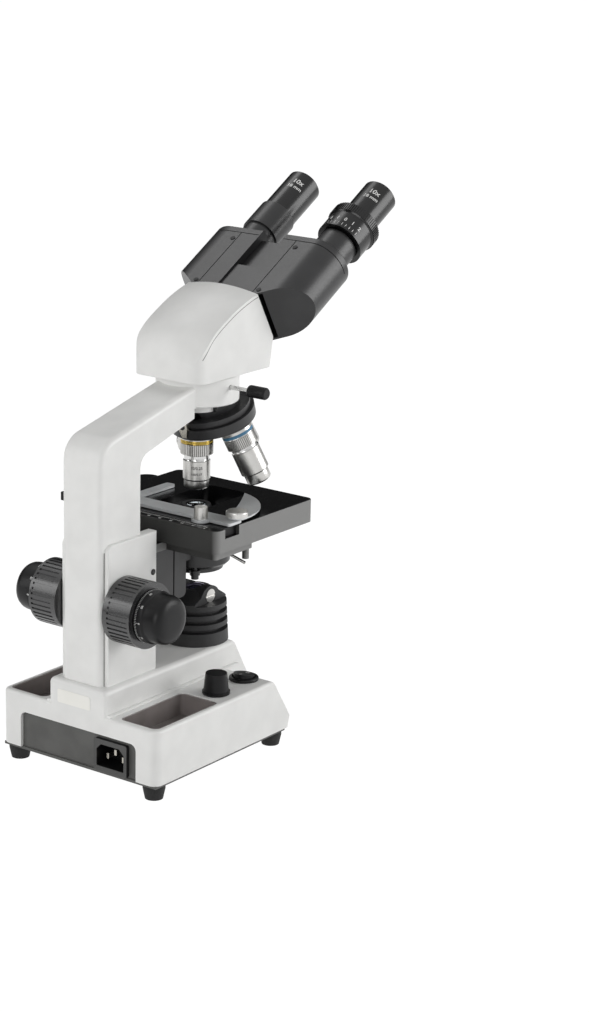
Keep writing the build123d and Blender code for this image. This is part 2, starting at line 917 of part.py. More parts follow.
fine_shaft_end = fine_knob_end - fine_shaft_inset
fine_shaft = cross_rod(fine_shaft_radius, -fine_shaft_end, fine_shaft_end, focus_y, focus_z)
fine_knob = extrude(Circle(fine_knob_radius), fine_dial_length)
fine_grip = extrude(Circle(fine_knob_radius - fine_grip_step), fine_knob_length - fine_dial_length)
fine_knob += Pos(0, 0, fine_dial_length) * fillet(fine_grip.edges().sort_by(Axis.Z)[-1:], fine_rounding)
fine_knob = knob_plane(fine_knob_start) * fine_knob
fine_knob -= fine_shaft
save("fine_shaft", fine_shaft)
save("right_fine_knob", fine_knob)
save("left_fine_knob", mirrored(fine_knob))

# Coarse slide: runs in the column's channel, with its rack facing the pinion
rack_pitch_y = focus_y - pitch_radius
rack_root_y = rack_pitch_y - rack_dedendum * rack_module
rack_tip_y = rack_pitch_y + rack_addendum * rack_module
slide_half_width = channel_half_width - sliding_gap
slide_top = slide_bottom + slide_height
tongue_room = tongue_half_width + sliding_gap
slide = box_between(
    (-slide_half_width, slide_front, slide_bottom), (slide_half_width, rack_root_y, slide_top)
)
slide -= box_between(
    (-tongue_room, slide_front - cut_over, slide_bottom - cut_over),
    (tongue_room, slide_front + tongue_depth + sliding_gap, slide_top + cut_over),
)


def rack_tooth(z):
    # The root is sunk a little into the slide so that the tooth is one piece with it
    wide = tooth_half + (rack_pitch_y - rack_root_y) * tan(radians(pressure_angle))
    narrow = tooth_half - (rack_tip_y - rack_pitch_y) * tan(radians(pressure_angle))
    return side_solid([
        (rack_root_y - rack_sink, z - wide),
        (rack_root_y, z - wide),
        (rack_tip_y, z - narrow),
        (rack_tip_y, z + narrow),
        (rack_root_y, z + wide),
        (rack_root_y - rack_sink, z + wide),
    ], pinion_width / 2)


rack_below = int((focus_z - slide_bottom) / tooth_pitch - 0.5)
rack_above = int((slide_top - focus_z) / tooth_pitch - 0.5)
for tooth in range(-rack_below, rack_above + 1):
    slide += rack_tooth(focus_z + tooth * tooth_pitch)
save("coarse_slide", slide)

# Stage carrier: a block ahead of the covers with a tongue in the coarse slide
carrier_back = cover_front - sliding_gap
carrier = box_between(
    (-carrier_half_width, carrier_front, carrier_bottom), (carrier_half_width, carrier_back, carrier_top)
)
carrier = fillet(carrier.edges().filter_by(Axis.Z), carrier_corner)
carrier += box_between(
    (-tongue_half_width, carrier_back - carrier_corner, carrier_bottom),
    (tongue_half_width, slide_front + tongue_depth, carrier_top),
)
carrier -= box_between(
    (-tongue_room, carrier_front - cut_over, carrier_bottom - cut_over),
    (tongue_room, carrier_front + tongue_depth + sliding_gap, carrier_top + cut_over),
)
save("stage_carrier", carrier)

# Condenser: the carrier plate slides on the stage carrier and its ring clamps the drum
plate_back = carrier_front - sliding_gap
condenser_carrier = box_between(
    (-carrier_half_width, condenser_plate_front, carrier_bottom),
    (carrier_half_width, plate_back, condenser_plate_top),
)
condenser_carrier = fillet(
    condenser_carrier.edges().filter_by(Axis.X).group_by(Axis.Z)[0], condenser_plate_round
)
condenser_carrier += box_between(
    (-tongue_half_width, plate_back - cut_over, carrier_bottom + condenser_tongue_rise),
    (tongue_half_width, carrier_front + tongue_depth, condenser_plate_top),
)
condenser_carrier += box_between(
    (-carrier_half_width, 0, condenser_plate_top - cut_over),
    (carrier_half_width, plate_back, condenser_ring_top),
)
condenser_carrier += pole(condenser_ring_radius, condenser_ring_bottom, condenser_ring_top)
condenser_carrier -= pole(condenser_radius + seat_gap, condenser_bottom, condenser_ring_top + cut_over)
clamp_direction = Vector(-sin(radians(clamp_angle)), cos(radians(clamp_angle)), 0)
clamp_z = (condenser_ring_bottom + condenser_ring_top) / 2


def on_clamp_axis(reach):
    return tuple(clamp_direction * reach + Vector(0, 0, clamp_z))


clamp_tip = on_clamp_axis(condenser_radius + sliding_gap)
clamp_neck = on_clamp_axis(condenser_ring_radius + knob_gap)
clamp_end = on_clamp_axis(condenser_ring_radius + knob_gap + clamp_head_length)
condenser_carrier -= rod(clamp_screw_radius + running_gap, clamp_tip, clamp_neck)
save("condenser_carrier", condenser_carrier)
clamp = rod(clamp_screw_radius, clamp_tip, clamp_neck) + rod(clamp_head_radius, clamp_neck, clamp_end)
save("condenser_screw", clamp)

iris_bottom = iris_z - iris_height / 2
iris_top = iris_z + iris_height / 2
iris_room = condenser_radius - condenser_wall
condenser = turned([
    (0, condenser_bottom),
    (condenser_radius - condenser_bevel, condenser_bottom),
    (condenser_radius, condenser_bottom + condenser_bevel),
    (condenser_radius, condenser_shoulder),
    (condenser_neck_radius, condenser_shoulder),
    (condenser_neck_radius, condenser_top - condenser_nose_height),
    (condenser_lens_radius + condenser_nose_rim, condenser_top - condenser_lens_proud),
    (0, condenser_top - condenser_lens_proud),
])
condenser -= pole(filter_glass_radius, condenser_bottom - cut_over, iris_bottom)
condenser -= pole(iris_room, iris_bottom - sliding_gap, iris_top + sliding_gap)
condenser -= pole(condenser_lens_radius, iris_top, condenser_top)
iris_slot = iris_half_angle + degrees(asin((iris_rod_radius + sliding_gap) / iris_room))
slot_reach = 2 * condenser_radius * cos(radians(iris_slot))
slot_half = 2 * condenser_radius * sin(radians(iris_slot))
slot_sector = make_face(Polyline((0, 0), (slot_reach, slot_half), (slot_reach, -slot_half), close=True))
slot_cut = extrude(slot_sector, iris_height + 2 * sliding_gap)
condenser -= Pos(0, 0, iris_bottom - sliding_gap) * Rot(0, 0, iris_turn) * slot_cut
lens_shoulder = condenser_top - condenser_lens_sag
save("condenser_lens", dome_lens(
    condenser_lens_radius - seat_gap, condenser_shoulder, lens_shoulder, condenser_lens_sag
))


def on_iris_lever(reach, z):
    return (reach * cos(radians(iris_turn)), reach * sin(radians(iris_turn)), z)


iris_root = on_iris_lever(iris_room - condenser_wall, iris_z)
iris_bend = on_iris_lever(condenser_radius + iris_straight, iris_z)
iris_tip = on_iris_lever(condenser_radius + iris_rod_length, iris_z - iris_drop)
iris = pole(iris_room - sliding_gap, iris_bottom, iris_top) - pole(iris_aperture, iris_bottom, iris_top)
iris += rod(iris_rod_radius, iris_root, iris_bend) + rod(iris_rod_radius, iris_bend, iris_tip)
iris += Pos(*iris_bend) * Sphere(iris_rod_radius)
save("iris_lever", iris)

# Swing-out filter ring under the drum, hung on a post
filter_top = condenser_bottom - sliding_gap
filter_bottom = filter_top - filter_ring_height
filter_seat = filter_bottom + filter_floor
post = (filter_post_x, filter_post_y)
filter_ring = pole(filter_ring_radius, filter_bottom, filter_top)
filter_ring += pole(filter_post_radius + filter_boss_wall, filter_bottom, filter_top, *post)
filter_ring -= pole(filter_glass_radius + seat_gap, filter_seat, filter_top + cut_over)
filter_ring -= pole(filter_glass_radius - filter_lip, filter_bottom - cut_over, filter_top)
filter_ring -= pole(filter_post_radius + running_gap, filter_bottom - cut_over, filter_top + cut_over, *post)
save("filter_ring", filter_ring)
save("filter_glass", pole(filter_glass_radius, filter_seat, filter_top - filter_recess))
post_head_top = filter_bottom - sliding_gap
condenser += pole(filter_post_radius, post_head_top, condenser_bottom + condenser_bevel + cut_over, *post)
condenser += pole(filter_post_radius + filter_floor, post_head_top - filter_post_head, post_head_top, *post)
save("condenser_drum", condenser)

# Stage bed with two rails, on the carrier
stage_underside = stage_top - stage_thickness
skirt_bottom = stage_top - stage_skirt
bed_top = skirt_bottom - sliding_gap
rail_front = stage_front + stage_wall + stage_backward + sliding_gap
rail_tall_back = groove_front - stage_wall - stage_forward - sliding_gap
rail_top = stage_underside - sliding_gap
bed = rounded_plan(
    -bed_half_width, bed_half_width, bed_front, bed_back, bed_corner, carrier_top, bed_top
)
for side in (-1, 1):
    ends = sorted((side * rail_x, side * (rail_x + rail_width)))
    bed += box_between((ends[0], rail_front, carrier_top), (ends[1], bed_back, bed_top))
    bed += box_between((ends[0], rail_front, bed_top), (ends[1], rail_tall_back, rail_top))
bed += box_between(
    (-carrier_half_width, bed_back - bed_corner, carrier_top), (carrier_half_width, carrier_back, bed_top)
)
bed -= pole(condenser_radius + bed_clearance, carrier_top - cut_over, bed_top + cut_over)
bed_stud_x = bed_stud_inset - bed_half_width
bed += pole(bed_stud_radius, carrier_top - bed_stud_drop, bed_top, bed_stud_x, bed_stud_y)
save("stage_bed", bed)

stage = rounded_plan(
    -stage_half_width, stage_half_width, stage_front, stage_back, stage_corner, skirt_bottom, stage_top
)
stage = fillet(stage.faces().sort_by(Axis.Z)[-1].edges(), stage_edge)
stage -= rounded_plan(
    stage_wall - stage_half_width, stage_half_width - stage_wall, stage_front + stage_wall,
    groove_front - stage_wall, stage_corner - stage_wall, skirt_bottom - cut_over, stage_underside,
)
rail_pass = rail_x + rail_width + sliding_gap
groove_floor = stage_top - groove_depth
stage -= box_between(
    (-rail_pass, groove_front - 2 * stage_wall, skirt_bottom - cut_over),
    (rail_pass, stage_back - stage_wall, groove_floor - stage_wall),
)
stage -= rounded_plan(
    -window_half_width, window_half_width, window_front, window_back, window_corner,
    stage_underside - cut_over, stage_top + cut_over,
)
stage -= box_between(
    (-stage_half_width - cut_over, groove_front, groove_floor),
    (stage_half_width + cut_over, groove_back, stage_top + cut_over),
)
save("stage_plate", stage)

# Coaxial stage drive: a hub on the right flank with a tube in it and a shaft in the tube
tube_top = stage_top - drive_tube_drop
hub = pole(drive_hub_radius, skirt_bottom, stage_top - drive_hub_drop, drive_x, drive_y)
hub = fillet(hub.edges().sort_by(Axis.Z)[-1:], drive_hub_round)
hub -= box_between((0, stage_front, skirt_bottom - cut_over), (stage_half_width, stage_back, stage_top))
tube_bore = drive_tube_radius + running_gap
hub -= pole(tube_bore, skirt_bottom - cut_over, tube_top + sliding_gap, drive_x, drive_y)
save("drive_hub", hub)


def grip_face(radius, flutes):
    return Circle(radius) - PolarLocations(radius, flutes) * Rectangle(grip_groove, grip_groove)


def drive_knob(radius, bottom, stem_radius, stem_top):
    grip = Pos(drive_x, drive_y, bottom) * extrude(grip_face(radius, drive_flutes), drive_knob_length)
    return grip + pole(stem_radius, bottom + cut_over, stem_top, drive_x, drive_y)


y_knob_bottom = skirt_bottom - drive_drop - drive_knob_length
x_knob_bottom = y_knob_bottom - drive_knob_length - 2 * sliding_gap
y_knob = drive_knob(y_knob_radius, y_knob_bottom, drive_tube_radius, tube_top)
shaft_hole = drive_shaft_radius + running_gap
y_knob -= pole(shaft_hole, y_knob_bottom - cut_over, tube_top + cut_over, drive_x, drive_y)
save("y_drive_knob", y_knob)
save("x_drive_knob", drive_knob(x_knob_radius, x_knob_bottom, drive_shaft_radius, tube_top))

# Slide holder: a bar in the stage's groove with a plate on it
bar_bottom = groove_floor + sliding_gap
bar_top = stage_top - bar_recess
holder_bottom = stage_top + sliding_gap
holder_top = holder_bottom + holder_thickness
bar = box_between(
    (bar_left, groove_front + sliding_gap, bar_bottom), (bar_right, groove_back - sliding_gap, bar_top)
)
holder = rounded_plan(
    holder_left, holder_right, holder_front, holder_back, holder_corner, holder_bottom, holder_top
)
holder += rounded_plan(
    holder_right - holder_arm_width, holder_right, holder_arm_reach, holder_back, holder_corner,
    holder_bottom, holder_top,
)
holder_screws = []
stud_bottom = bar_bottom + cut_over
for x in (-holder_screw_x, holder_screw_x):
    bar += pole(holder_spacer_radius, bar_top, holder_bottom, x, holder_screw_y)
    holder += pole(holder_screw_radius + holder_corner, holder_bottom, holder_top, x, holder_screw_y)
    stud_hole = pole(holder_stud_radius + running_gap, stud_bottom, holder_top + cut_over, x, holder_screw_y)
    bar -= stud_hole
    holder -= stud_hole
    screw = pole(holder_stud_radius, stud_bottom + sliding_gap, holder_top, x, holder_screw_y)
    grip = extrude(grip_face(holder_screw_radius, holder_screw_flutes), holder_screw_height)
    holder_screws.append(screw + Pos(x, holder_screw_y, holder_top) * grip)
clip_low = holder_top + sliding_gap
clip_high = clip_low + clip_thickness
cap_low = clip_high + sliding_gap
holder += pole(clip_stud_radius, holder_bottom, cap_low, clip_x, clip_y)
save("holder_bar", bar)
save("slide_holder", holder)
save("holder_screws", Compound(children=holder_screws))

# Sprung finger under a round cap: one arc outside, one inside, from the pivot to the tip
pivot = Pos(clip_x, clip_y, clip_low)
finger_tip = (clip_lean, -clip_reach)
finger_heel = (-clip_root, 0)
finger_toe = (clip_root, 0)
finger_outline = ThreePointArc(finger_heel, (clip_bulge_x, -clip_bulge_reach), finger_tip)
finger_outline += ThreePointArc(finger_tip, (clip_hollow_x, -clip_hollow_reach), finger_toe)
finger_outline += Line(finger_toe, finger_heel)
finger = extrude(make_face(finger_outline), clip_thickness)
finger += pole(clip_root, 0, clip_thickness)
finger -= pole(clip_stud_radius + running_gap, -cut_over, clip_thickness + cut_over)
save("slide_clip", pivot * finger)
clip_cap = pole(clip_cap_radius, cap_low, cap_low + clip_cap_height, clip_x, clip_y)
save("clip_cap", fillet(clip_cap.edges().sort_by(Axis.Z)[-1:], clip_cap_round))

# Revolving nosepiece
tilt = radians(turret_tilt)
turret_centre = Vector(0, -seat_radius * cos(tilt), seat_z + seat_radius * sin(tilt))
turret_up = Vector(0, sin(tilt), cos(tilt))
turret_plane = Plane(origin=turret_centre, x_dir=(1, 0, 0), z_dir=turret_up)
turret_axis = Axis(turret_centre, turret_up)
face_slope = tan(tilt)


def face_height(radius):
    return (radius - seat_radius) * face_slope


turret_top = face_height(turret_radius) + turret_rim
turret = turned([
    (0, face_height(turret_apex)),
    (turret_apex, face_height(turret_apex)),
    (turret_radius - turret_bevel, face_height(turret_radius - turret_bevel)),
    (turret_radius, face_height(turret_radius - turret_bevel) + turret_bevel / 2),
    (turret_radius, turret_top),
    (0, turret_top),
])
turret -= pole(turret_pin_radius + running_gap, face_height(0) - cut_over, turret_top + cut_over)
turret = turret_plane * turret
objective_turns = {"objective_10x": 0, "objective_40x": 90, "objective_100x": 180, "objective_4x": 270}
seat_hole = pole(thread_radius + seat_gap, seat_z - thread_length, seat_z + 4 * turret_rim)
for turn in objective_turns.values():
    turret -= seat_hole.rotate(turret_axis, turn)
save("nosepiece_turret", turret)

flange_bottom = turret_top + sliding_gap
flange_top = flange_bottom + mount_flange_height
mount = pole(mount_flange_radius, flange_bottom, flange_top)
mount += pole(mount_hub_radius, flange_bottom, flange_bottom + 3 * mount_hub_radius)
mount += pole(turret_pin_radius, face_height(0) + cut_over, flange_bottom)
mount = turret_plane * mount
mount_reach = 4 * mount_hub_radius
mount &= box_between((-mount_reach, -mount_reach, 0), (mount_reach, mount_reach, neck_bottom))
mount -= pole(boss_radius, boss_bottom, neck_bottom + cut_over)
mount -= box_between(
    (-arm_half_width - cut_over, 0, boss_bottom),
    (arm_half_width + cut_over, arm_front, neck_bottom + cut_over),
)
mount -= pole(beam_radius, seat_z, neck_bottom + cut_over)
mount = mount.solids().sort_by(SortBy.VOLUME)[-1]
save("nosepiece_mount", mount)

# Leaf spring of the click stops: a tapered plate beside the turret's rim, on a foot against the flange
detent_inside = turret_radius + detent_gap
detent_outside = detent_inside + detent_thickness
leaf = make_face(Plane.XZ * Polyline(
    (-detent_tip_width / 2, detent_tip),
    (detent_tip_width / 2, detent_tip),
    (detent_width / 2, detent_hole),
    (detent_width / 2, detent_top),
    (-detent_width / 2, detent_top),
    (-detent_width / 2, detent_hole),
    close=True,
))
spring = Pos(0, detent_outside, 0) * extrude(leaf, detent_thickness)
foot_low = flange_bottom + seat_gap
foot_high = flange_top - seat_gap
spring += box_between((-detent_width / 2, 0, foot_low), (detent_width / 2, detent_inside, foot_high))
spring -= pole(mount_flange_radius + seat_gap, flange_bottom, flange_top)
spring -= Pos(0, 0, detent_hole) * Rot(90, 0, 0) * Cylinder(detent_hole_radius, 4 * turret_radius)
save("detent_spring", turret_plane * spring)

objectives = {
    "objective_4x": (scan_length, scan_barrel, scan_nose, scan_nose_length),
    "objective_10x": (low_length, low_barrel, low_nose, low_nose_length),
    "objective_40x": (high_length, high_barrel, high_nose, high_nose_length),
    "objective_100x": (oil_length, oil_barrel, oil_nose, oil_nose_length),
}


def objective(length, barrel_radius, nose_radius, nose_length):
    knurl_end = band_length + knurl_length
    shoulder = length - nose_length
    body = turned([
        (lens_bore, thread_length),
        (thread_radius, thread_length),
        (thread_radius, 0),
        (knurl_radius - knurl_step, 0),
        (knurl_radius - knurl_step, -band_length),
        (knurl_radius, -band_length),
        (knurl_radius, -knurl_end),
        (barrel_radius, -knurl_end - barrel_taper),
        (barrel_radius, -shoulder),
        (nose_radius, -shoulder - tip_step),
        (nose_radius, -length + tip_bevel),
        (nose_radius - tip_bevel, -length),
        (lens_bore, -length),
    ])
    lens_face = lens_set_back - length
    return body + pole(lens_bore, lens_face, lens_face + lens_thickness)


for name, sizes in objectives.items():
    placed = Pos(0, 0, seat_z) * objective(*sizes)
    save(name, placed.rotate(turret_axis, objective_turns[name]))


# Head: a housing on a collar that turns in the neck
def view_point(n, t):
    lean = radians(view_angle)
    return (n * sin(lean) - t * cos(lean), prism_z + n * cos(lean) + t * sin(lean))



def head_outline(back_height, heel_y, heel_height, shoulder_y, shoulder_height, crest):
    return side_face([
        (head_back, head_bottom),
        (head_back, head_bottom + back_height),
        (heel_y, head_bottom + heel_height),
        (shoulder_y, head_bottom + shoulder_height),
        view_point(crest, head_front),
        view_point(head_chin, head_front),
        (head_throat, head_bottom),
    ])


head_flank = head_outline(
    flank_back_height, flank_heel_y, flank_heel_height, flank_shoulder_y, flank_shoulder_height, head_brow
)
head_ridge = head_outline(
    ridge_back_height, ridge_heel_y, ridge_heel_height, ridge_shoulder_y, ridge_shoulder_height, head_crest
)
head = loft([Pos(-head_half_width, 0, 0) * head_flank, head_ridge, Pos(head_half_width, 0, 0) * head_flank])
head &= rounded_plan(
    -head_half_width, head_half_width, 3 * head_throat, head_back, head_corner, head_bottom, 2 * prism_z
)
head += pole(collar_radius, neck_top - collar_depth + sliding_gap, head_bottom)
head -= pole(beam_radius, neck_top - collar_depth, prism_z)
head -= view * pole(beam_radius, 0, head_front + cut_over)
save("head_housing", head)


def view_box(low, high):
    return view * box_between(low, high)


bridge = view_box((-bridge_half_width, bridge_low, head_front), (bridge_half_width, bridge_high, bridge_end))
bridge -= view * pole(beam_radius, head_front - cut_over, bridge_end - 2 * beam_radius)
save("binocular_bridge", bridge)

cavity_x = bridge_half_width + eyes_in + bridge_room


def tube_half(inner_edge):
    outline = Pos(tube_round_x, tube_round_n) * Circle(tube_round)
    outline += Pos((inner_edge + tube_round_x) / 2, tube_round_n) * Rectangle(
        tube_round_x - inner_edge, 2 * tube_round
    )
    half = Pos(0, 0, tube_start) * extrude(outline, tube_end - tube_start)
    half = chamfer(half.faces().sort_by(Axis.Z)[-1].edges().sort_by(Axis.X)[1:], tube_bevel)
    far_x = tube_round_x + 2 * tube_round
    slant = make_face(Plane.XZ * Polyline(
        (tube_slant_x, tube_start),
        (far_x, tube_start + tube_slant * (far_x - tube_slant_x)),
        (far_x, tube_start - cut_over),
        (tube_slant_x, tube_start - cut_over),
        close=True,
    ))
    half -= extrude(slant, 4 * tube_round, both=True)
    # Shut line of the cover on top, with the nose cap's joint across its end
    crown = tube_round_n + tube_round
    half -= box_between(
        (seam_x - seam_width / 2, crown - seam_depth, tube_start - cut_over),
        (seam_x + seam_width / 2, crown + cut_over, seam_t),
    )
    nose_joint = extrude(outline, seam_width) - extrude(offset(outline, -seam_depth), seam_width)
    nose_joint &= box_between((inner_edge + seam_depth, 0, 0), (far_x, far_x, seam_width))
    half -= Pos(0, 0, seam_t) * nose_joint
    half -= box_between(
        (inner_edge - cut_over, bridge_low - sliding_gap, tube_start - cut_over),
        (cavity_x, bridge_high + sliding_gap, bridge_end + sliding_gap),
    )
    return half


def eye_bore():
    return pole(eyepiece_barrel_radius + running_gap, bore_start, diopter_end, eye_x)


right_half = tube_half(right_edge)
right_half += box_between(
    (tongue_edge, tongue_low, tube_start), (right_edge + cut_over, tongue_high, notch_start)
)
right_half += pole(right_neck_radius, tube_end - cut_over, right_sleeve_start + cut_over, eye_x)
right_half += pole(eye_tube_radius, right_sleeve_start, right_sleeve_end, eye_x)
right_half -= eye_bore()
save("right_tube_housing", view * right_half)

left_half = tube_half(-left_edge)
left_half -= box_between(
    (-left_edge - cut_over, bridge_high, tube_start - cut_over),
    (cavity_x, tongue_high + sliding_gap, notch_start + cut_over),
)
left_half += pole(eye_tube_radius, tube_end - cut_over, eye_tube_end, eye_x)
left_half += pole(eye_thread_radius, eye_tube_end - cut_over, eye_thread_end, eye_x)
left_half -= eye_bore()
save("left_tube_housing", view * mirrored(left_half))


def eyepiece(seat):
    lens_face = eyepiece_end - eye_lens_depth
    body = turned([
        (eyepiece_bore, eyepiece_barrel_start),
        (eyepiece_barrel_radius, eyepiece_barrel_start),
        (eyepiece_barrel_radius, seat),
        (eyepiece_radius, seat),
        (eyepiece_radius, eyepiece_end - eyepiece_bevel),
        (eyepiece_radius - eyepiece_bevel, eyepiece_end),
        (eyepiece_radius - 2 * eyepiece_bevel, eyepiece_end),
        (eyepiece_bore + eyepiece_bevel, lens_face),
        (0, lens_face),
        (0, lens_face - eye_lens_thickness),
        (eyepiece_bore, lens_face - eye_lens_thickness),
    ])
    return Pos(eye_x, 0, 0) * body


save("right_eyepiece", view * eyepiece(right_sleeve_end))
save("left_eyepiece", view * mirrored(eyepiece(diopter_end + sliding_gap)))
diopter_grip = pole(diopter_grip_radius, diopter_ring_end, diopter_end, -eye_x)
diopter = chamfer(diopter_grip.edges().filter_by(GeomType.CIRCLE), diopter_bevel)
diopter += pole(diopter_radius, diopter_start, diopter_ring_end + diopter_bevel, -eye_x)
diopter -= pole(eye_thread_radius + running_gap, diopter_start - cut_over, diopter_end + cut_over, -eye_x)
save("diopter_ring", view * diopter)

# Lock screw for the head
lock = cross_rod(lock_shank_radius, -lock_knob_start, -collar_radius - sliding_gap, 0, lock_z)
lock += cross_rod(lock_knob_radius, -lock_knob_end, -lock_knob_start, 0, lock_z)
save("lock_screw", lock)
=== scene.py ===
import json
import math
import bpy
import bmesh
from mathutils import Matrix, Vector


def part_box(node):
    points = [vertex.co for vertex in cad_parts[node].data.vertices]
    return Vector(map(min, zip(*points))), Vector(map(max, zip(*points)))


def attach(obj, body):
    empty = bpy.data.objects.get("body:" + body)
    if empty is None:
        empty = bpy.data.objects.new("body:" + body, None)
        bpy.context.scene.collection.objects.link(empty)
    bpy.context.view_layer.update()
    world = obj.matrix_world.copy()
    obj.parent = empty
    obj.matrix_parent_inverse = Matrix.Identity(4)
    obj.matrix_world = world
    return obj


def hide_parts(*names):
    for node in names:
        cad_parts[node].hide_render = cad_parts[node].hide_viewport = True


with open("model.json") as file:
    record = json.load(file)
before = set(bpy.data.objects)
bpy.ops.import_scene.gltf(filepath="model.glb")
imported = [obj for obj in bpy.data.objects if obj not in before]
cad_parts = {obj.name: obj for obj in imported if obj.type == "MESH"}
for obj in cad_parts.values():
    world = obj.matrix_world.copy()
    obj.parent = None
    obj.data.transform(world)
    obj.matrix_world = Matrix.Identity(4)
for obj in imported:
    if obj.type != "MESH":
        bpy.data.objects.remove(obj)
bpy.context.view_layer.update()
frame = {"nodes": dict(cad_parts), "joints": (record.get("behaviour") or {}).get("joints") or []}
nodes = frame["nodes"]
joints = {joint["name"]: joint for joint in frame["joints"]}
mm = 0.001
print("frame loaded:", len(nodes), "nodes")


def hexColor(code):  # sRGB hex to linear
    channels = [int(code[i:i + 2], 16) / 255 for i in (1, 3, 5)]
    return [c / 12.92 if c <= 0.04045 else ((c + 0.055) / 1.055) ** 2.4 for c in channels] + [1.0]


def addNode(tree, kind, settings=None, links=None):  # settings by property or socket, links by socket
    node = tree.nodes.new(kind)
    for key, value in (settings or {}).items():
        if isinstance(key, str) and hasattr(node, key):
            setattr(node, key, value)
        else:
            node.inputs[key].default_value = value
    for key, source in (links or {}).items():
        tree.links.new(source, node.inputs[key])
    return node


def newMaterial(name, settings):  # a Principled surface with its constants on the shader's own sockets
    material = bpy.data.materials.new(name)
    material.use_nodes = True
    tree = material.node_tree
    tree.nodes.clear()
    shader = addNode(tree, "ShaderNodeBsdfPrincipled", settings)
    addNode(tree, "ShaderNodeOutputMaterial", None, {"Surface": shader.outputs[0]})
    where = addNode(tree, "ShaderNodeTexCoord").outputs["Object"]
    return material, tree, shader, where


def grain(tree, where, size, detail=3.0, stretch=(1, 1, 1)):  # noise whose lumps are `size` metres across
    mapped = addNode(tree, "ShaderNodeMapping", {"Scale": stretch}, {"Vector": where})
    noise = addNode(tree, "ShaderNodeTexNoise", {"Scale": 1 / size, "Detail": detail},
                    {"Vector": mapped.outputs[0]})
    return noise.outputs[0]


noiseSpan = {"From Min": 0.3, "From Max": 0.7}  # where most of the noise lies
toneStops = (0.35, 0.65)
cloudSize = 18 * mm


def finish(name, dark, light, rough, grainMm, bump, settings=None, stretch=(1, 1, 1)):  # bump in mm
    material, tree, shader, where = newMaterial(name, settings or {})
    lumps = grain(tree, where, grainMm * mm, 3.0, stretch)
    cloud = grain(tree, where, cloudSize, 2.0)
    tone = addNode(tree, "ShaderNodeValToRGB", None, {"Fac": cloud})
    for stop, position, code in zip(tone.color_ramp.elements, toneStops, (dark, light)):
        stop.position, stop.color = position, hexColor(code)
    tree.links.new(tone.outputs[0], shader.inputs["Base Color"])
    uneven = addNode(tree, "ShaderNodeMapRange", {**noiseSpan, "To Min": rough[0], "To Max": rough[1]},
                     {"Value": lumps})
    tree.links.new(uneven.outputs[0], shader.inputs["Roughness"])
    if bump:
        raised = addNode(tree, "ShaderNodeBump", {"Strength": 1.0, "Distance": bump * mm}, {"Height": lumps})
        tree.links.new(raised.outputs[0], shader.inputs["Normal"])
    return material


def surfaceOf(material):  # a finish's tree, its shader and the tone that feeds it
    tree = material.node_tree
    shader = next(node for node in tree.nodes if node.type == "BSDF_PRINCIPLED")
    return tree, shader, shader.inputs["Base Color"].links[0].from_socket


# powder-coated castings: even white with a faint orange peel, drawn at 1.6 mm so that it shows
whiteEnamel = finish("satinWhiteEnamel", "#E4E4E2", "#E9E9E7", (0.34, 0.42), 1.6, 0.012)
# stoved black enamel on the eye tubes, nosepiece and condenser: satin, with a fine grit drawn at 0.9 mm
blackEnamel = finish("grittyBlackEnamel", "#1F1F20", "#262627", (0.30, 0.40), 0.9, 0.014)
# smooth black enamel on the stage, with light and shade painted by which way a face turns: deep black on the
# top and in the window as painted shade, light grey on the flanks as painted light, darker grey on the ends as
# painted shade
stageEnamel = finish("smoothBlackEnamelLitAndShaded", "#0D0D0E", "#121213", (0.18, 0.25), 2.4, 0.003,
                     {"Specular IOR Level": 0.12})
# colours and bounds of the painted light and shade on the stage: lit light grey flanks facing X, shaded darker
# grey ends facing Y
stageLightAndShade = {"ends": "#3E3E3D", "flanks": "#8A8A89", "topFrom": 0.5, "topTo": 0.9, "window": 45}
stageTree, stageShader, deepTone = surfaceOf(stageEnamel)
stageNormal = addNode(stageTree, "ShaderNodeNewGeometry").outputs["True Normal"]
upward = addNode(stageTree, "ShaderNodeSeparateXYZ", None, {0: stageNormal})
onTop = addNode(stageTree, "ShaderNodeMapRange",
                {"From Min": stageLightAndShade["topFrom"], "From Max": stageLightAndShade["topTo"]},
                {"Value": upward.outputs["Z"]})
sideways = addNode(stageTree, "ShaderNodeMath", {"operation": "ABSOLUTE"}, {0: upward.outputs["X"]})
flanks = addNode(stageTree, "ShaderNodeMix",
                 {"data_type": "RGBA", 6: hexColor(stageLightAndShade["ends"]), 7: hexColor(stageLightAndShade["flanks"])},
                 {0: sideways.outputs[0]})
# painted shade: within the window the walls keep the deep tone of the top
stageWhere = addNode(stageTree, "ShaderNodeTexCoord").outputs["Object"]
fromAxis = addNode(stageTree, "ShaderNodeVectorMath", {"operation": "ABSOLUTE"}, {0: stageWhere})
away = addNode(stageTree, "ShaderNodeSeparateXYZ", None, {0: fromAxis.outputs[0]})
farther = addNode(stageTree, "ShaderNodeMath", {"operation": "MAXIMUM"},
                  {0: away.outputs["X"], 1: away.outputs["Y"]})
inWindow = addNode(stageTree, "ShaderNodeMath", {"operation": "LESS_THAN", 1: stageLightAndShade["window"] * mm},
                   {0: farther.outputs[0]})
deep = addNode(stageTree, "ShaderNodeMath", {"operation": "MAXIMUM"},
               {0: onTop.outputs[0], 1: inWindow.outputs[0]})
stageLitAndShaded = addNode(stageTree, "ShaderNodeMix", {"data_type": "RGBA"},
                {0: deep.outputs[0], 6: flanks.outputs[2], 7: deepTone})
stageTree.links.new(stageLitAndShaded.outputs[2], stageShader.inputs["Base Color"])
# moulded tray inserts: a warmer, paler grey than the knobs, smooth enough to pick up the walls
trayAbs = finish("mouldedTrayAbs", "#7A7371", "#847D7B", (0.30, 0.38), 1.2, 0.006)
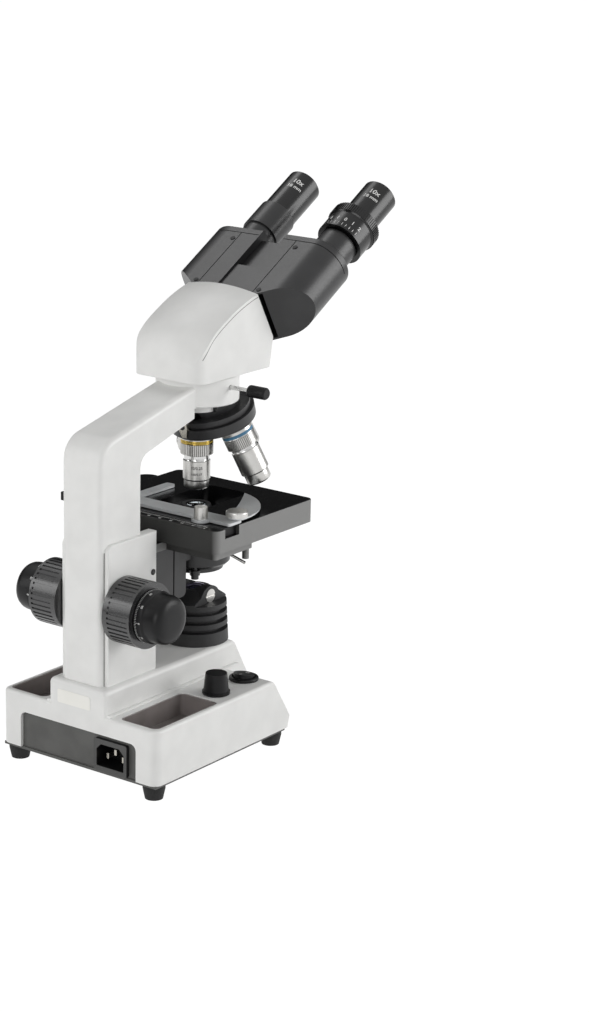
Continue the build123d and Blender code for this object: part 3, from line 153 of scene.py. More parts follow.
# moulded ABS: fine knobs, dial, switch and lock screw; spark-eroded mould texture drawn at 0.7 mm
blackAbs = finish("mouldedBlackAbs", "#101011", "#161617", (0.30, 0.40), 0.7, 0.010,
                  {"Specular IOR Level": 0.25})
# heat-proof ABS on the lamp: dull, a shade greyer than the knobs
lampAbs = finish("mouldedLampAbs", "#1E1E1F", "#262627", (0.50, 0.62), 0.7, 0.02)
# the coarse knobs' ribs: the same ABS worn bright by fingers
wornAbs = finish("wornBlackAbs", "#1B1B1C", "#232324", (0.22, 0.28), 0.7, 0.004, {"Specular IOR Level": 1.0})
# black anodised aluminium: eyepieces and diopter ring, turned smooth, long soft highlights
blackAnodised = finish("blackAnodisedAluminium", "#080809", "#0C0C0D", (0.22, 0.26), 0.8, 0.001,
                       {"Specular IOR Level": 0.45})
# textured steel sheet, powder coated dark grey: rear panel and bottom plate
greySheet = finish("crinkleGreySteelSheet", "#4C4C4A", "#565654", (0.44, 0.56), 0.8, 0.04)
# nitrile rubber: feet, dull with a dusty cloud
rubber = finish("nitrileRubber", "#0E0E0E", "#151515", (0.68, 0.82), 1.2, 0.04)
# satin chrome on brass: objective barrels and knurled screws, bead-blasted, drawn at 0.6 mm
satinChrome = finish("satinChrome", "#C4C3C0", "#CFCECB", (0.26, 0.34), 0.6, 0.004, {"Metallic": 1.0})
# bright chrome on brass: objective necks and the lock screw's shank, near a mirror
brightChrome = finish("brightChrome", "#CFCFCE", "#D8D8D7", (0.15, 0.21), 1.5, 0.0, {"Metallic": 1.0})
# ground steel: shafts, slide and rack, a soft grey sheen
groundSteel = finish("groundSteel", "#A3A3A2", "#AEAEAD", (0.24, 0.36), 0.5, 0.004, {"Metallic": 1.0})
# brushed anodised aluminium: slide holder and its finger, brush lines along X drawn 0.5 mm apart
brushedAluminium = finish("brushedAluminium", "#BFC1C2", "#CACCCD", (0.38, 0.50), 0.5, 0.006,
                          {"Metallic": 0.6}, (0.04, 1, 1))
# gold lacquer over chrome on the 10x objective's band
goldLacquer = finish("goldLacquer", "#AE9550", "#BCA25A", (0.18, 0.26), 1.5, 0.0, {"Metallic": 1.0})
# oxidised steel, dull and dark: the holder's bar, socket screws and the objectives' valleys
blackOxide = finish("blackOxideSteel", "#1A1A1B", "#222223", (0.35, 0.5), 0.6, 0.01, {"Metallic": 0.6})
# nickel plate, a warm shine: the inlet's pins and the detent spring
nickel = finish("nickelPlate", "#B5B1A8", "#C2BEB4", (0.18, 0.26), 1.0, 0.0, {"Metallic": 1.0})

# moulded mains inlet: grey flange; black painted shade on everything set deeper than the flange face, where the
# socket goes in
inletAbs = finish("mouldedInletAbs", "#3E3E3D", "#484847", (0.36, 0.46), 0.7, 0.012)
inletRecessShade = {"inside": "#0C0C0D", "flange": 0.6}
inletTree, inletShader, flangeTone = surfaceOf(inletAbs)
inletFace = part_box("mains_inlet")[1][1]
inletWhere = addNode(inletTree, "ShaderNodeTexCoord").outputs["Object"]
depth = addNode(inletTree, "ShaderNodeSeparateXYZ", None, {0: inletWhere})
# painted shade: the recess and the body's sides go black, only the outer face keeps the grey
outside = addNode(inletTree, "ShaderNodeMath",
                  {"operation": "GREATER_THAN", 1: inletFace - inletRecessShade["flange"] * mm},
                  {0: depth.outputs["Y"]})
tone = addNode(inletTree, "ShaderNodeMix", {"data_type": "RGBA", 6: hexColor(inletRecessShade["inside"])},
               {0: outside.outputs[0], 7: flangeTone})
inletTree.links.new(tone.outputs[2], inletShader.inputs["Base Color"])


def inkOf(name, dark, light):  # filled engraving or print: flat and slightly uneven
    return finish(name, dark, light, (0.5, 0.6), 0.6, 0.0)


whiteInk = inkOf("whitePrint", "#DCDCDA", "#E8E8E6")
blackInk = inkOf("blackFilledEngraving", "#1B1B1B", "#262626")
yellowBand = inkOf("yellowEnamelBand", "#C6A936", "#D2B748")
blueBand = inkOf("blueEnamelBand", "#3F6E8C", "#4A7C9C")
redBand = inkOf("redEnamelBand", "#B0292A", "#BE3335")
# painted shadow: a flat dark grey for the shade in the grooves where castings meet
seamShadow = inkOf("partingSeamShadow", "#5E5E5C", "#6A6A68")
# polyester film: even and a little brighter than the enamel around it
labelFilm = finish("whitePolyesterLabel", "#F1F0EA", "#F5F4EF", (0.48, 0.52), 6.0, 0.0)

# crown glass: clear, with a faint uneven film
lensGlass, lensTree, lensShader, lensWhere = newMaterial("coatedCrownGlass", {
    "Transmission Weight": 1.0, "IOR": 1.52, "Base Color": hexColor("#E6F0F5"), "Roughness": 0.02})
lensFilm = addNode(lensTree, "ShaderNodeMapRange", {**noiseSpan, "To Min": 0.01, "To Max": 0.04},
                   {"Value": grain(lensTree, lensWhere, 6 * mm)})
lensTree.links.new(lensFilm.outputs[0], lensShader.inputs["Roughness"])
# violet anti-reflection coat over a dark barrel: eye lenses, objective fronts and the collector
coatedLens = finish("coatedLensFront", "#0B0D14", "#10131C", (0.03, 0.06), 6.0, 0.0,
                    {"Coat Weight": 1.0, "Coat Roughness": 0.02, "Coat Tint": hexColor("#B9A6E6")})
# the lamp's phosphor under clear resin: pale yellow and a little wet
phosphor = finish("ledPhosphor", "#D8C66A", "#E6D67E", (0.25, 0.35), 0.8, 0.01, {"Coat Weight": 0.6})

nodeFinishes = (
    (whiteEnamel, ("base_casting", "arm", "right_focus_cover", "left_focus_cover", "head_housing")),
    (blackEnamel, ("binocular_bridge", "left_tube_housing", "right_tube_housing", "nosepiece_mount",
                   "nosepiece_turret", "stage_carrier", "condenser_carrier", "condenser_drum", "filter_ring")),
    (stageEnamel, ("stage_plate", "stage_bed", "drive_hub")),
    (blackAnodised, ("left_eyepiece", "right_eyepiece", "diopter_ring")),
    (trayAbs, ("left_tray", "right_tray")),
    (inletAbs, ("mains_inlet",)),
    (blackAbs, ("brightness_dial", "switch_body", "switch_rocker", "dial_control", "right_fine_knob",
                "left_fine_knob", "lock_screw", "y_drive_knob", "x_drive_knob")),
    (lampAbs, ("lamp_housing", "lamp_cap")),
    (wornAbs, ("right_coarse_knob", "left_coarse_knob")),
    (greySheet, ("bottom_plate", "rear_panel")),
    (rubber, ("rubber_feet",)),
    (satinChrome, ("lamp_screws", "holder_screws", "clip_cap", "iris_lever", "condenser_screw",
                   "objective_4x", "objective_10x", "objective_40x", "objective_100x")),
    (groundSteel, ("coarse_shaft", "fine_shaft", "coarse_slide")),
    (nickel, ("inlet_pins", "detent_spring")),
    (blackOxide, ("holder_bar",)),
    (brushedAluminium, ("slide_holder", "slide_clip")),
    (coatedLens, ("collector_lens",)),
    (lensGlass, ("condenser_lens", "filter_glass")),
    (phosphor, ("led_module",)),
)
for material, names in nodeFinishes:
    for name in names:
        nodes[name].data.materials.clear()
        nodes[name].data.materials.append(material)
print("finishes set on", sum(len(names) for material, names in nodeFinishes), "of", len(nodes), "nodes")


def addPiece(name, mesh, body, covers=()):  # a finished mesh becomes a piece that moves with a body
    piece = bpy.data.objects.new(name, mesh)
    bpy.context.scene.collection.objects.link(piece)
    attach(piece, body)
    if covers:
        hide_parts(*covers)


def axisFrame(origin, along, across):  # local Z along, local X across, origin in mm
    z, x = Vector(along).normalized(), Vector(across).normalized()
    turned = Matrix((x, z.cross(x), z)).transposed().to_4x4()
    return Matrix.Translation(Vector(origin) * mm) @ turned


unmoved = Matrix.Identity(4)
meshForm = {"weld": 1e-7, "sharpOver": 35}


def shellMesh(name, form, materials):  # welds, turns the faces outward and keeps the sharper edges sharp
    bmesh.ops.remove_doubles(form, verts=form.verts, dist=meshForm["weld"])
    bmesh.ops.recalc_face_normals(form, faces=form.faces)
    mesh = bpy.data.meshes.new(name)
    form.to_mesh(mesh)
    form.free()
    for material in materials:
        mesh.materials.append(material)
    mesh.shade_smooth()
    mesh.set_sharp_from_angle(angle=math.radians(meshForm["sharpOver"]))
    return mesh


def shellPiece(name, form, materials, place, body, covers=()):
    mesh = shellMesh(name, form, materials)
    mesh.transform(place)
    addPiece(name, mesh, body, covers)


def turnedPiece(name, sections, place, body, covers=(), steps=96):
    # closed part turned about Z, from the top of its axis down; a section is a finish and its profile in mm
    points, finishes = [sections[0][1][0]], []
    for index, (material, profile) in enumerate(sections):
        added = profile[1:] if index == 0 else profile
        points += added
        finishes += [index] * len(added)
    form = bmesh.new()
    rings = []
    for radius, height in points:
        count = steps if radius > 0 else 1
        turns = [2 * math.pi * i / steps for i in range(count)]
        rings.append([form.verts.new((radius * mm * math.cos(a), radius * mm * math.sin(a), height * mm))
                      for a in turns])
    for upper, lower, finishIndex in zip(rings, rings[1:], finishes):
        for i in range(steps):
            corners = [upper[i % len(upper)], lower[i % len(lower)],
                       lower[(i + 1) % len(lower)], upper[(i + 1) % len(upper)]]
            form.faces.new(list(dict.fromkeys(corners))).material_index = finishIndex
    shellPiece(name, form, [material for material, profile in sections], place, body, covers)


def quads(form, low, high):  # faces between two rows of as many points
    for i in range(len(low) - 1):
        form.faces.new((low[i], low[i + 1], high[i + 1], high[i]))


def prism(form, corners, rise):  # a closed bar: corners and rise in mm
    low = [form.verts.new(Vector(corner) * mm) for corner in corners]
    high = [form.verts.new((Vector(corner) + Vector(rise)) * mm) for corner in corners]
    quads(form, low + low[:1], high + high[:1])
    form.faces.new(low)
    form.faces.new(high)


def roundedOutline(low, high, corner, steps, grow=0.0):  # flat rectangle with round corners, grown outward; mm
    points = []
    for x, y, start in ((high[0] - corner, high[1] - corner, 0), (low[0] + corner, high[1] - corner, 90),
                        (low[0] + corner, low[1] + corner, 180), (high[0] - corner, low[1] + corner, 270)):
        for i in range(steps + 1):
            angle, out = math.radians(start + 90 * i / steps), corner + grow
            points.append(Vector((x + out * math.cos(angle), y + out * math.sin(angle), 0)))
    return points


def evaluated(source):  # an object's final shape as a plain mesh; the object goes
    bpy.context.scene.collection.objects.link(source)
    bpy.context.view_layer.update()
    mesh = bpy.data.meshes.new_from_object(source.evaluated_get(bpy.context.evaluated_depsgraph_get()))
    bpy.data.objects.remove(source)
    return mesh


def baked(name, tree, values, points=None):  # runs a geometry tree once and keeps its result
    source = bpy.data.objects.new(name, points or bpy.data.meshes.new(name))
    modifier = source.modifiers.new(name, "NODES")
    modifier.node_group = tree
    for item in tree.interface.items_tree:
        if item.in_out == "INPUT" and item.name in values:
            modifier[item.identifier] = values[item.name]
    return evaluated(source)


def newTree(name, inputs):  # a geometry tree with its named inputs
    tree = bpy.data.node_groups.new(name, "GeometryNodeTree")
    tree.interface.new_socket("Geometry", in_out="INPUT", socket_type="NodeSocketGeometry")
    for label, kind in inputs.items():
        tree.interface.new_socket(label, in_out="INPUT", socket_type="NodeSocket" + kind)
    tree.interface.new_socket("Geometry", in_out="OUTPUT", socket_type="NodeSocketGeometry")
    return tree, addNode(tree, "NodeGroupInput").outputs


def endTree(tree, instances, material):  # the ending that both bar trees share
    solid = addNode(tree, "GeometryNodeRealizeInstances", None, {0: instances})
    painted = addNode(tree, "GeometryNodeSetMaterial", None,
                      {"Geometry": solid.outputs[0], "Material": material})
    addNode(tree, "NodeGroupOutput", None, {0: painted.outputs[0]})


# bars round an axis, for knurls and dial marks: bar size is radial, round, along
barRing, given = newTree("barRing", {"Count": "Int", "First": "Float", "Step": "Float", "Radius": "Float",
                                     "Bar": "Vector", "Finish": "Material"})
spokes = addNode(barRing, "GeometryNodeMeshLine", None, {"Count": given["Count"]})
order = addNode(barRing, "GeometryNodeInputIndex")
turned = addNode(barRing, "ShaderNodeMath", {"operation": "MULTIPLY_ADD"},
                 {0: order.outputs[0], 1: given["Step"], 2: given["First"]})
spin = addNode(barRing, "ShaderNodeCombineXYZ", None, {"Z": turned.outputs[0]})
reach = addNode(barRing, "ShaderNodeCombineXYZ", None, {"X": given["Radius"]})
swung = addNode(barRing, "ShaderNodeVectorRotate", {"rotation_type": "Z_AXIS"},
                {"Vector": reach.outputs[0], "Angle": turned.outputs[0]})
placed = addNode(barRing, "GeometryNodeSetPosition", None,
                 {"Geometry": spokes.outputs[0], "Position": swung.outputs[0]})
bar = addNode(barRing, "GeometryNodeMeshCube", None, {"Size": given["Bar"]})
bars = addNode(barRing, "GeometryNodeInstanceOnPoints", None,
               {"Points": placed.outputs[0], "Instance": bar.outputs[0], "Rotation": spin.outputs[0]})
endTree(barRing, bars.outputs[0], given["Finish"])

# bars in a row, for straight scales
barRow, given = newTree("barRow", {"Count": "Int", "Start": "Vector", "Step": "Vector", "Bar": "Vector",
                                   "Finish": "Material"})
row = addNode(barRow, "GeometryNodeMeshLine", None,
              {"Count": given["Count"], "Start Location": given["Start"], "Offset": given["Step"]})
bar = addNode(barRow, "GeometryNodeMeshCube", None, {"Size": given["Bar"]})
bars = addNode(barRow, "GeometryNodeInstanceOnPoints", None,
               {"Points": row.outputs[0], "Instance": bar.outputs[0]})
endTree(barRow, bars.outputs[0], given["Finish"])

# socket screws at given points, each turned to the point's "facing"
screwForm = {"sides": 24, "socketShare": 0.55, "socketLift": 0.1}
screwSet, given = newTree("screwSet", {"Radius": "Float", "Height": "Float", "Finish": "Material"})
head = addNode(screwSet, "GeometryNodeMeshCylinder", {"Vertices": screwForm["sides"]},
               {"Radius": given["Radius"], "Depth": given["Height"]})
socketSize = addNode(screwSet, "ShaderNodeMath", {"operation": "MULTIPLY", 1: screwForm["socketShare"]},
                     {0: given["Radius"]})
rim = addNode(screwSet, "GeometryNodeMeshCylinder", {"Vertices": 6},
              {"Radius": socketSize.outputs[0], "Depth": given["Height"]})
lift = addNode(screwSet, "ShaderNodeMath", {"operation": "MULTIPLY", 1: screwForm["socketLift"]},
               {0: given["Height"]})
liftBy = addNode(screwSet, "ShaderNodeCombineXYZ", None, {"Z": lift.outputs[0]})
socket = addNode(screwSet, "GeometryNodeTransform", None,
                 {"Geometry": rim.outputs[0], "Translation": liftBy.outputs[0]})
dark = addNode(screwSet, "GeometryNodeSetMaterial", {"Material": blackInk}, {"Geometry": socket.outputs[0]})
bright = addNode(screwSet, "GeometryNodeSetMaterial", None,
                 {"Geometry": head.outputs[0], "Material": given["Finish"]})
whole = addNode(screwSet, "GeometryNodeJoinGeometry", None, {0: bright.outputs[0]})
screwSet.links.new(dark.outputs[0], whole.inputs[0])
facing = addNode(screwSet, "GeometryNodeInputNamedAttribute", {"data_type": "FLOAT_VECTOR", "Name": "facing"})
aim = addNode(screwSet, "FunctionNodeAlignRotationToVector", {"axis": "Z"}, {"Vector": facing.outputs[0]})
heads = addNode(screwSet, "GeometryNodeInstanceOnPoints", None,
                {"Points": given["Geometry"], "Instance": whole.outputs[0], "Rotation": aim.outputs[0]})
solid = addNode(screwSet, "GeometryNodeRealizeInstances", None, {0: heads.outputs[0]})
addNode(screwSet, "NodeGroupOutput", None, {0: solid.outputs[0]})


def ringOf(name, settings, place, body):  # settings in mm and degrees
    mesh = baked(name, barRing, {"Count": settings["count"], "First": math.radians(settings.get("first", 0)),
                                 "Step": math.radians(settings.get("step", 360 / settings["count"])),
                                 "Radius": settings["radius"] * mm, "Bar": [s * mm for s in settings["bar"]],
                                 "Finish": settings["finish"]})
    mesh.transform(place @ Matrix.Translation((0, 0, settings["height"] * mm)))
    addPiece(name, mesh, body)


printForm = {"thick": 0.06, "lift": 0.02, "bold": 0.02, "curveSteps": 3}  # bolder than the plain font


def letters(text, size):  # raised print facing +Z
    curve = bpy.data.curves.new("letters", "FONT")
    curve.body, curve.size, curve.align_x, curve.align_y = text, size * mm, "CENTER", "CENTER"
    curve.extrude, curve.offset = printForm["thick"] / 2 * mm, printForm["bold"] * size * mm
    curve.resolution_u = printForm["curveSteps"]
    return evaluated(bpy.data.objects.new("letters", curve))


def printed(name, marks, ink, place, body):
    # marks: text, size, radius (0 is flat), angle or x, height or y
    form, lift = bmesh.new(), printForm["lift"] * mm
    for text, size, radius, turn, height in marks:
        mesh = letters(text, size)
        for vertex in mesh.vertices:
            x, y, z = vertex.co
            if radius:
                angle, out = math.radians(turn) + x / (radius * mm), radius * mm + z + lift
                vertex.co = (out * math.cos(angle), out * math.sin(angle), y + height * mm)
            else:
                vertex.co = (x + turn * mm, y + height * mm, z + lift)
        form.from_mesh(mesh)
        bpy.data.meshes.remove(mesh)
    shellPiece(name, form, [ink], place, body)


turret = joints["nosepiece_turn"]
toPivot = Matrix.Translation(turret["pos_m"])
objectiveForm = {"seat": 223.5, "thread": 10.1, "threadTop": 4, "shoulder": 11.5, "band": 11.9,
                 "bandGroove": 0.15, "valley": 11.3, "knurls": 52, "knurlRadius": 11.45, "knurl": 0.9,
                 "edge": 0.4, "noseGroove": 0.7}
# depths below the shoulder, mm; finish and lower edge of each band, then (radius, lower edge) of each step
objectiveLooks = {
    "objective_4x": {
        "turn": 270, "bands": [(satinChrome, 1.6), (redBand, 3.2), (satinChrome, 4.4)], "knurl": 11.0,
        "neck": (9.2, 13.5), "barrel": (9.8, 22.0), "nose": (8.6, 27.0), "lens": 5.0,
        "marks": (("4/0.10", 2.5, 16.2), ("160/0.17", 2.0, 19.6)), "facing": 128},
    "objective_10x": {
        "turn": 0, "bands": [(satinChrome, 1.0), (goldLacquer, 2.1), (yellowBand, 2.7), (goldLacquer, 3.8)],
        "knurl": 12.0, "neck": (9.3, 16.4), "barrel": (9.9, 30.6), "nose": (9.1, 37.5), "lens": 3.4,
        "marks": (("10/0.25", 3.0, 21.4), ("160/0.17", 2.3, 25.9)), "facing": 128},
    "objective_40x": {
        "turn": 90, "bands": [(satinChrome, 2.4), (blueBand, 4.6), (brightChrome, 5.4)], "knurl": 13.6,
        "neck": (9.9, 16.6), "barrel": (10.6, 34.9), "nose": (9.2, 43.4), "lens": 2.2,
        "marks": (("40/0.65", 3.0, 22.5), ("160/0.17", 2.3, 27.0)), "facing": 218},
    "objective_100x": {
        "turn": 180, "bands": [(satinChrome, 2.4), (whiteInk, 3.6), (satinChrome, 5.0)], "knurl": 12.0,
        "neck": (9.9, 15.6), "barrel": (10.6, 34.5), "nose": (5.6, 44.0), "lens": 1.6,
        "marks": (("100/1.25", 3.0, 22.0), ("160/0.17", 2.3, 26.5)), "facing": 128},
}
thread, threadTop, valley = objectiveForm["thread"], objectiveForm["threadTop"], objectiveForm["valley"]
band, edge, noseGroove = objectiveForm["band"], objectiveForm["edge"], objectiveForm["noseGroove"]
for node, look in objectiveLooks.items():
    bandEnd, knurlEnd, lens = look["bands"][-1][1], look["knurl"], look["lens"]
    (neck, neckEnd), (barrel, barrelEnd), (nose, length) = look["neck"], look["barrel"], look["nose"]
    sections = [(satinChrome, [(0, threadTop), (thread, threadTop), (thread, 0.2),
                               (objectiveForm["shoulder"], 0.1), (band, -0.3)])]
    for material, lower in look["bands"]:
        sections.append((material, [(band, 0.12 - lower), (band - objectiveForm["bandGroove"], -lower)]))
    sections += [
        (blackOxide, [(valley, -bandEnd - 0.1), (valley, -knurlEnd), (neck + 0.6, -knurlEnd - 0.2)]),
        (brightChrome, [(neck, -knurlEnd - 0.8), (neck, 0.5 - neckEnd), (barrel - edge, -neckEnd)]),
        (satinChrome, [(barrel, -neckEnd - edge), (barrel, edge - barrelEnd), (barrel - edge, -barrelEnd)]),
        (blackOxide, [(nose - edge, -barrelEnd), (nose - edge, -barrelEnd - noseGroove)]),
        (satinChrome, [(nose, -barrelEnd - noseGroove - 0.1), (nose, 1.5 - length), (nose - 0.5, 0.6 - length),
                       (nose - 1.5, -length), (lens + 0.8, -length)]),
        (blackInk, [(lens, 0.5 - length)]),
        (coatedLens, [(lens * 0.6, 0.35 - length), (0, 0.25 - length)]),
    ]
    turn = Matrix.Rotation(math.radians(look["turn"]), 4, Vector(turret["axis"]))
    place = toPivot @ turn @ toPivot.inverted() @ Matrix.Translation((0, 0, objectiveForm["seat"] * mm))
    label = node.replace("_", "")
    turnedPiece(label, sections, place, "nosepiece", [node])
    ringOf(label + "Knurl", {"count": objectiveForm["knurls"], "radius": objectiveForm["knurlRadius"],
                             "bar": (objectiveForm["knurl"], objectiveForm["knurl"], knurlEnd - bandEnd - 0.3),
                             "height": -(bandEnd + knurlEnd) / 2, "finish": satinChrome},
           place, "nosepiece")
    printed(label + "Marks", [(text, size, barrel, look["facing"], -down)
                              for text, size, down in look["marks"]],
            blackInk, place, "nosepiece")
print("objectives turned")

lean = math.radians(30)
viewAxis = (0, -math.cos(lean), math.sin(lean))
eyeX, prismZ = 35.0, 281.7


def tubeFrame(x):  # local Z runs up the eye tube from the prism, local Y out of its upper side
    return axisFrame((x, 0, prismZ), viewAxis, (1, 0, 0))


eyepieces = {"left": {"x": -eyeX, "body": "left_eyepiece"}, "right": {"x": eyeX, "body": "right_tube"}}
eyeLens = {"radius": 8.9, "face": 196.2, "crown": 1.6, "edge": 0.2, "turns": (0, 0.4, 0.8, 1.2, 1.5)}
eyeMarks = {"radius": 13.5, "turn": 116, "rows": (("10x", 6.0, 188.4), ("18 mm", 4.4, 182.6))}
for side, eye in eyepieces.items():
    place = tubeFrame(eye["x"])
    top, rim, crown = eyeLens["face"], eyeLens["radius"], eyeLens["crown"]
    dome = [(rim * math.sin(a), top + crown * math.cos(a)) for a in eyeLens["turns"]]
    foot = top - eyeLens["edge"]
    turnedPiece(side + "EyeLens", [(coatedLens, dome + [(rim, foot), (0, foot)])], place, eye["body"])
    printed(side + "EyeMarks", [(text, size, eyeMarks["radius"], eyeMarks["turn"], height)
                                for text, size, height in eyeMarks["rows"]],
            whiteInk, place, eye["body"])

diopter = {"ringRadius": 18.2, "collarRadius": 19.2, "middle": 110, "apart": 20.0,
           "knurls": 72, "knurl": (1.0, 0.8, 7.4), "knurlsAt": 160.85,
           "ticks": 9, "tick": (0.08, 0.35, 2.6), "ticksAt": 143.4, "numberSize": 4.4, "numbersAt": 148.6}
place = tubeFrame(-eyeX)
ringOf("diopterKnurl", {"count": diopter["knurls"], "radius": diopter["collarRadius"], "bar": diopter["knurl"],
                        "height": diopter["knurlsAt"], "finish": blackAnodised},
       place, "diopter_ring")
ringOf("diopterTicks", {"count": diopter["ticks"], "first": diopter["middle"] - 2 * diopter["apart"],
                        "step": diopter["apart"] / 2, "radius": diopter["ringRadius"], "bar": diopter["tick"],
                        "height": diopter["ticksAt"], "finish": whiteInk}, place, "diopter_ring")
printed("diopterNumbers", [(text, diopter["numberSize"], diopter["ringRadius"],
                            diopter["middle"] + (i - 2) * diopter["apart"], diopter["numbersAt"])
                           for i, text in enumerate("21012")], whiteInk, place, "diopter_ring")
print("eyepieces and diopter marked")

lock = {"grip": 4.2, "length": 15.5, "collar": 2.1, "shank": 1.6, "knurls": 26, "knurl": (0.4, 0.5),
        "steps": 48}
lockLow, lockHigh = (Vector(corner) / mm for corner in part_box("lock_screw"))
outEnd, inEnd, knobStart = -lockLow.x, -lockHigh.x, -lockLow.x - lock["length"]
lockAxis = axisFrame((0, 0, joints["lock_screw_turn"]["pos_m"][2] / mm), (-1, 0, 0), (0, 1, 0))
turnedPiece("lockScrew", [
    (blackAbs, [(0, outEnd), (lock["grip"] - 0.7, outEnd), (lock["grip"], outEnd - 0.8),
                (lock["grip"], knobStart + 0.6), (lock["grip"] - 0.6, knobStart)]),
    (brightChrome, [(lock["collar"], knobStart), (lock["collar"], knobStart - 0.8),
                    (lock["shank"], knobStart - 0.9), (lock["shank"], inEnd), (0, inEnd)])],
    lockAxis, "lock_screw", ["lock_screw"], lock["steps"])
ringOf("lockKnurl", {"count": lock["knurls"], "radius": lock["grip"],
                     "bar": (*lock["knurl"], lock["length"] - 2.4), "height": (outEnd + knobStart) / 2,
                     "finish": blackAbs}, lockAxis, "lock_screw")
clamp = joints["condenser_screw_turn"]
clampHead = {"count": 24, "radius": 4.2, "bar": (0.6, 0.55, 6.6), "height": 33.1, "finish": satinChrome}
ringOf("condenserKnurl", clampHead, axisFrame([p / mm for p in clamp["pos_m"]], clamp["axis"], (0, 0, 1)),
       "condenser_screw")

# the knob's profile is radius and height over the coarse knob
fineKnob = {"profile": [(0, 20.6), (7.0, 20.5), (11.5, 20.1), (14.2, 19.3), (16.0, 17.9), (17.0, 16.0),
                        (17.4, 13.8), (17.6, 6.8), (18.2, 6.3), (18.8, 5.8), (18.8, 0.5), (18.3, 0.1),
                        (0, 0.1)],
            "dialRadius": 18.8, "numberSize": 2.3, "numberAt": 4.3,
            "minor": {"count": 100, "bar": (0.08, 0.22, 1.5), "height": 1.1},
            "major": {"count": 10, "bar": (0.08, 0.3, 2.4), "height": 1.5}}
drive = Vector(joints["fine_knob_turn"]["pos_m"]) / mm
for side, sign in (("left", -1), ("right", 1)):
    low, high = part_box(side + "_fine_knob")
    dialStart = (high[0] if sign < 0 else low[0]) / mm
    place = axisFrame((dialStart, drive.y, drive.z), (sign, 0, 0), (0, 1, 0))
    turnedPiece(side + "FineKnob", [(blackAbs, fineKnob["profile"])], place, "fine_knobs",
                [side + "_fine_knob"])
    for kind in ("minor", "major"):
        marks = {**fineKnob[kind], "radius": fineKnob["dialRadius"], "finish": whiteInk}
        ringOf(side + "Fine" + kind.title(), marks, place, "fine_knobs")
    printed(side + "FineNumbers", [(str(10 * i), fineKnob["numberSize"], fineKnob["dialRadius"], 36 * i,
                                    fineKnob["numberAt"]) for i in range(10)],
            whiteInk, place, "fine_knobs")

# each row of the scale is a name, a count, a step and a length
stageScale = {"x": -50.0, "y": 49.6, "top": 176.5, "tall": 0.08, "wide": 0.25,
              "numberSize": 2.2, "numberAt": 4.3, "rows": (("Fine", 101, 1.0, 1.5), ("Tens", 11, 10.0, 2.8))}
for kind, count, step, length in stageScale["rows"]:
    start = (stageScale["x"], stageScale["y"] + length / 2, stageScale["top"])
    mesh = baked("stageScale" + kind, barRow, {
        "Count": count, "Start": [s * mm for s in start], "Step": [step * mm, 0, 0],
        "Bar": [s * mm for s in (stageScale["wide"], length, stageScale["tall"])], "Finish": whiteInk})
    addPiece("stageScale" + kind, mesh, "stage")
printed("stageScaleNumbers", [(str(10 * i), stageScale["numberSize"], 0, stageScale["x"] + 10 * i,
                               stageScale["y"] + stageScale["numberAt"]) for i in range(11)],
        whiteInk, Matrix.Translation((0, 0, stageScale["top"] * mm)), "stage")

# black lining of the stage window, down to the skirt's foot
lining = {"low": (-19.0, -38.0), "high": (19.0, 27.0), "corner": 8.0, "wall": 1.6, "top": 171.2, "foot": 160.4,
          "steps": 6}
form = bmesh.new()
rings = []
for grow, height in ((0, "top"), (lining["wall"], "top"), (lining["wall"], "foot"), (0, "foot")):
    outline = roundedOutline(lining["low"], lining["high"], lining["corner"], lining["steps"], grow)
    ring = [form.verts.new((point + Vector((0, 0, lining[height]))) * mm) for point in outline]
    rings.append(ring + ring[:1])
for a, b in zip(rings, rings[1:] + rings[:1]):
    quads(form, a, b)
shellPiece("windowLining", form, [stageEnamel], unmoved, "stage")
print("scales drawn")

# spots are a place and the way the head faces
tubeScrew = {"radius": 1.9, "height": 0.8, "place": tubeFrame(0)}
screwRows = {
    "left_tube": {**tubeScrew, "spots": [((-28.4, 25.0, z), (0, 1, 0)) for z in (52.5, 102.0)]},
    "right_tube": {**tubeScrew, "spots": [((28.4, 25.0, z), (0, 1, 0)) for z in (52.5, 102.0)]},
    "stand": {"radius": 2.2, "height": 0.8, "place": unmoved,
              "spots": [((-21.0, 74.6, 143.7), (-1, 0, 0)), ((21.0, 74.6, 143.7), (1, 0, 0)),
                        ((0, 17.38, 233.6), (0, 0.951, -0.309))]},
}
for body, screws in screwRows.items():
    points = bpy.data.meshes.new(body + "Spots")
    points.from_pydata([screws["place"] @ (Vector(spot) * mm) for spot, facing in screws["spots"]], [], [])
    turned = [screws["place"].to_3x3() @ Vector(facing) for spot, facing in screws["spots"]]
    ways = points.attributes.new("facing", "FLOAT_VECTOR", "POINT")
    ways.data.foreach_set("vector", [c for v in turned for c in v])
    mesh = baked(body + "Screws", screwSet, {"Radius": screws["radius"] * mm, "Height": screws["height"] * mm,
                                             "Finish": blackOxide}, points)
    addPiece(body + "Screws", mesh, body)
print("screws set")

# head housing: crowned back between flat flanks; points are Y and height, brow and chin lie across the tubes
headShape = {"half": 31.5, "bottom": 272.0, "back": 37.0, "corner": 10.0, "front": 47.0, "chin": -13.0,
             "throat": -43.5, "flank": ((37.0, 285.0), (28.0, 299.5), (4.7, 315.3)), "flankBrow": 25.8,
             "ridge": ((37.0, 287.0), (31.5, 303.5), (7.2, 320.0)), "ridgeBrow": 30.5,
             "along": 12, "across": 24, "round": 6, "weld": 1e-6,
             "softEdge": 1.6, "edgeSteps": 3, "edgeOver": 38, "collar": (22.0, 261.0)}
cornerY, cornerX = headShape["back"] - headShape["corner"], headShape["half"] - headShape["corner"]
heel, throat = (Vector((headShape[key], headShape["bottom"])) for key in ("back", "throat"))


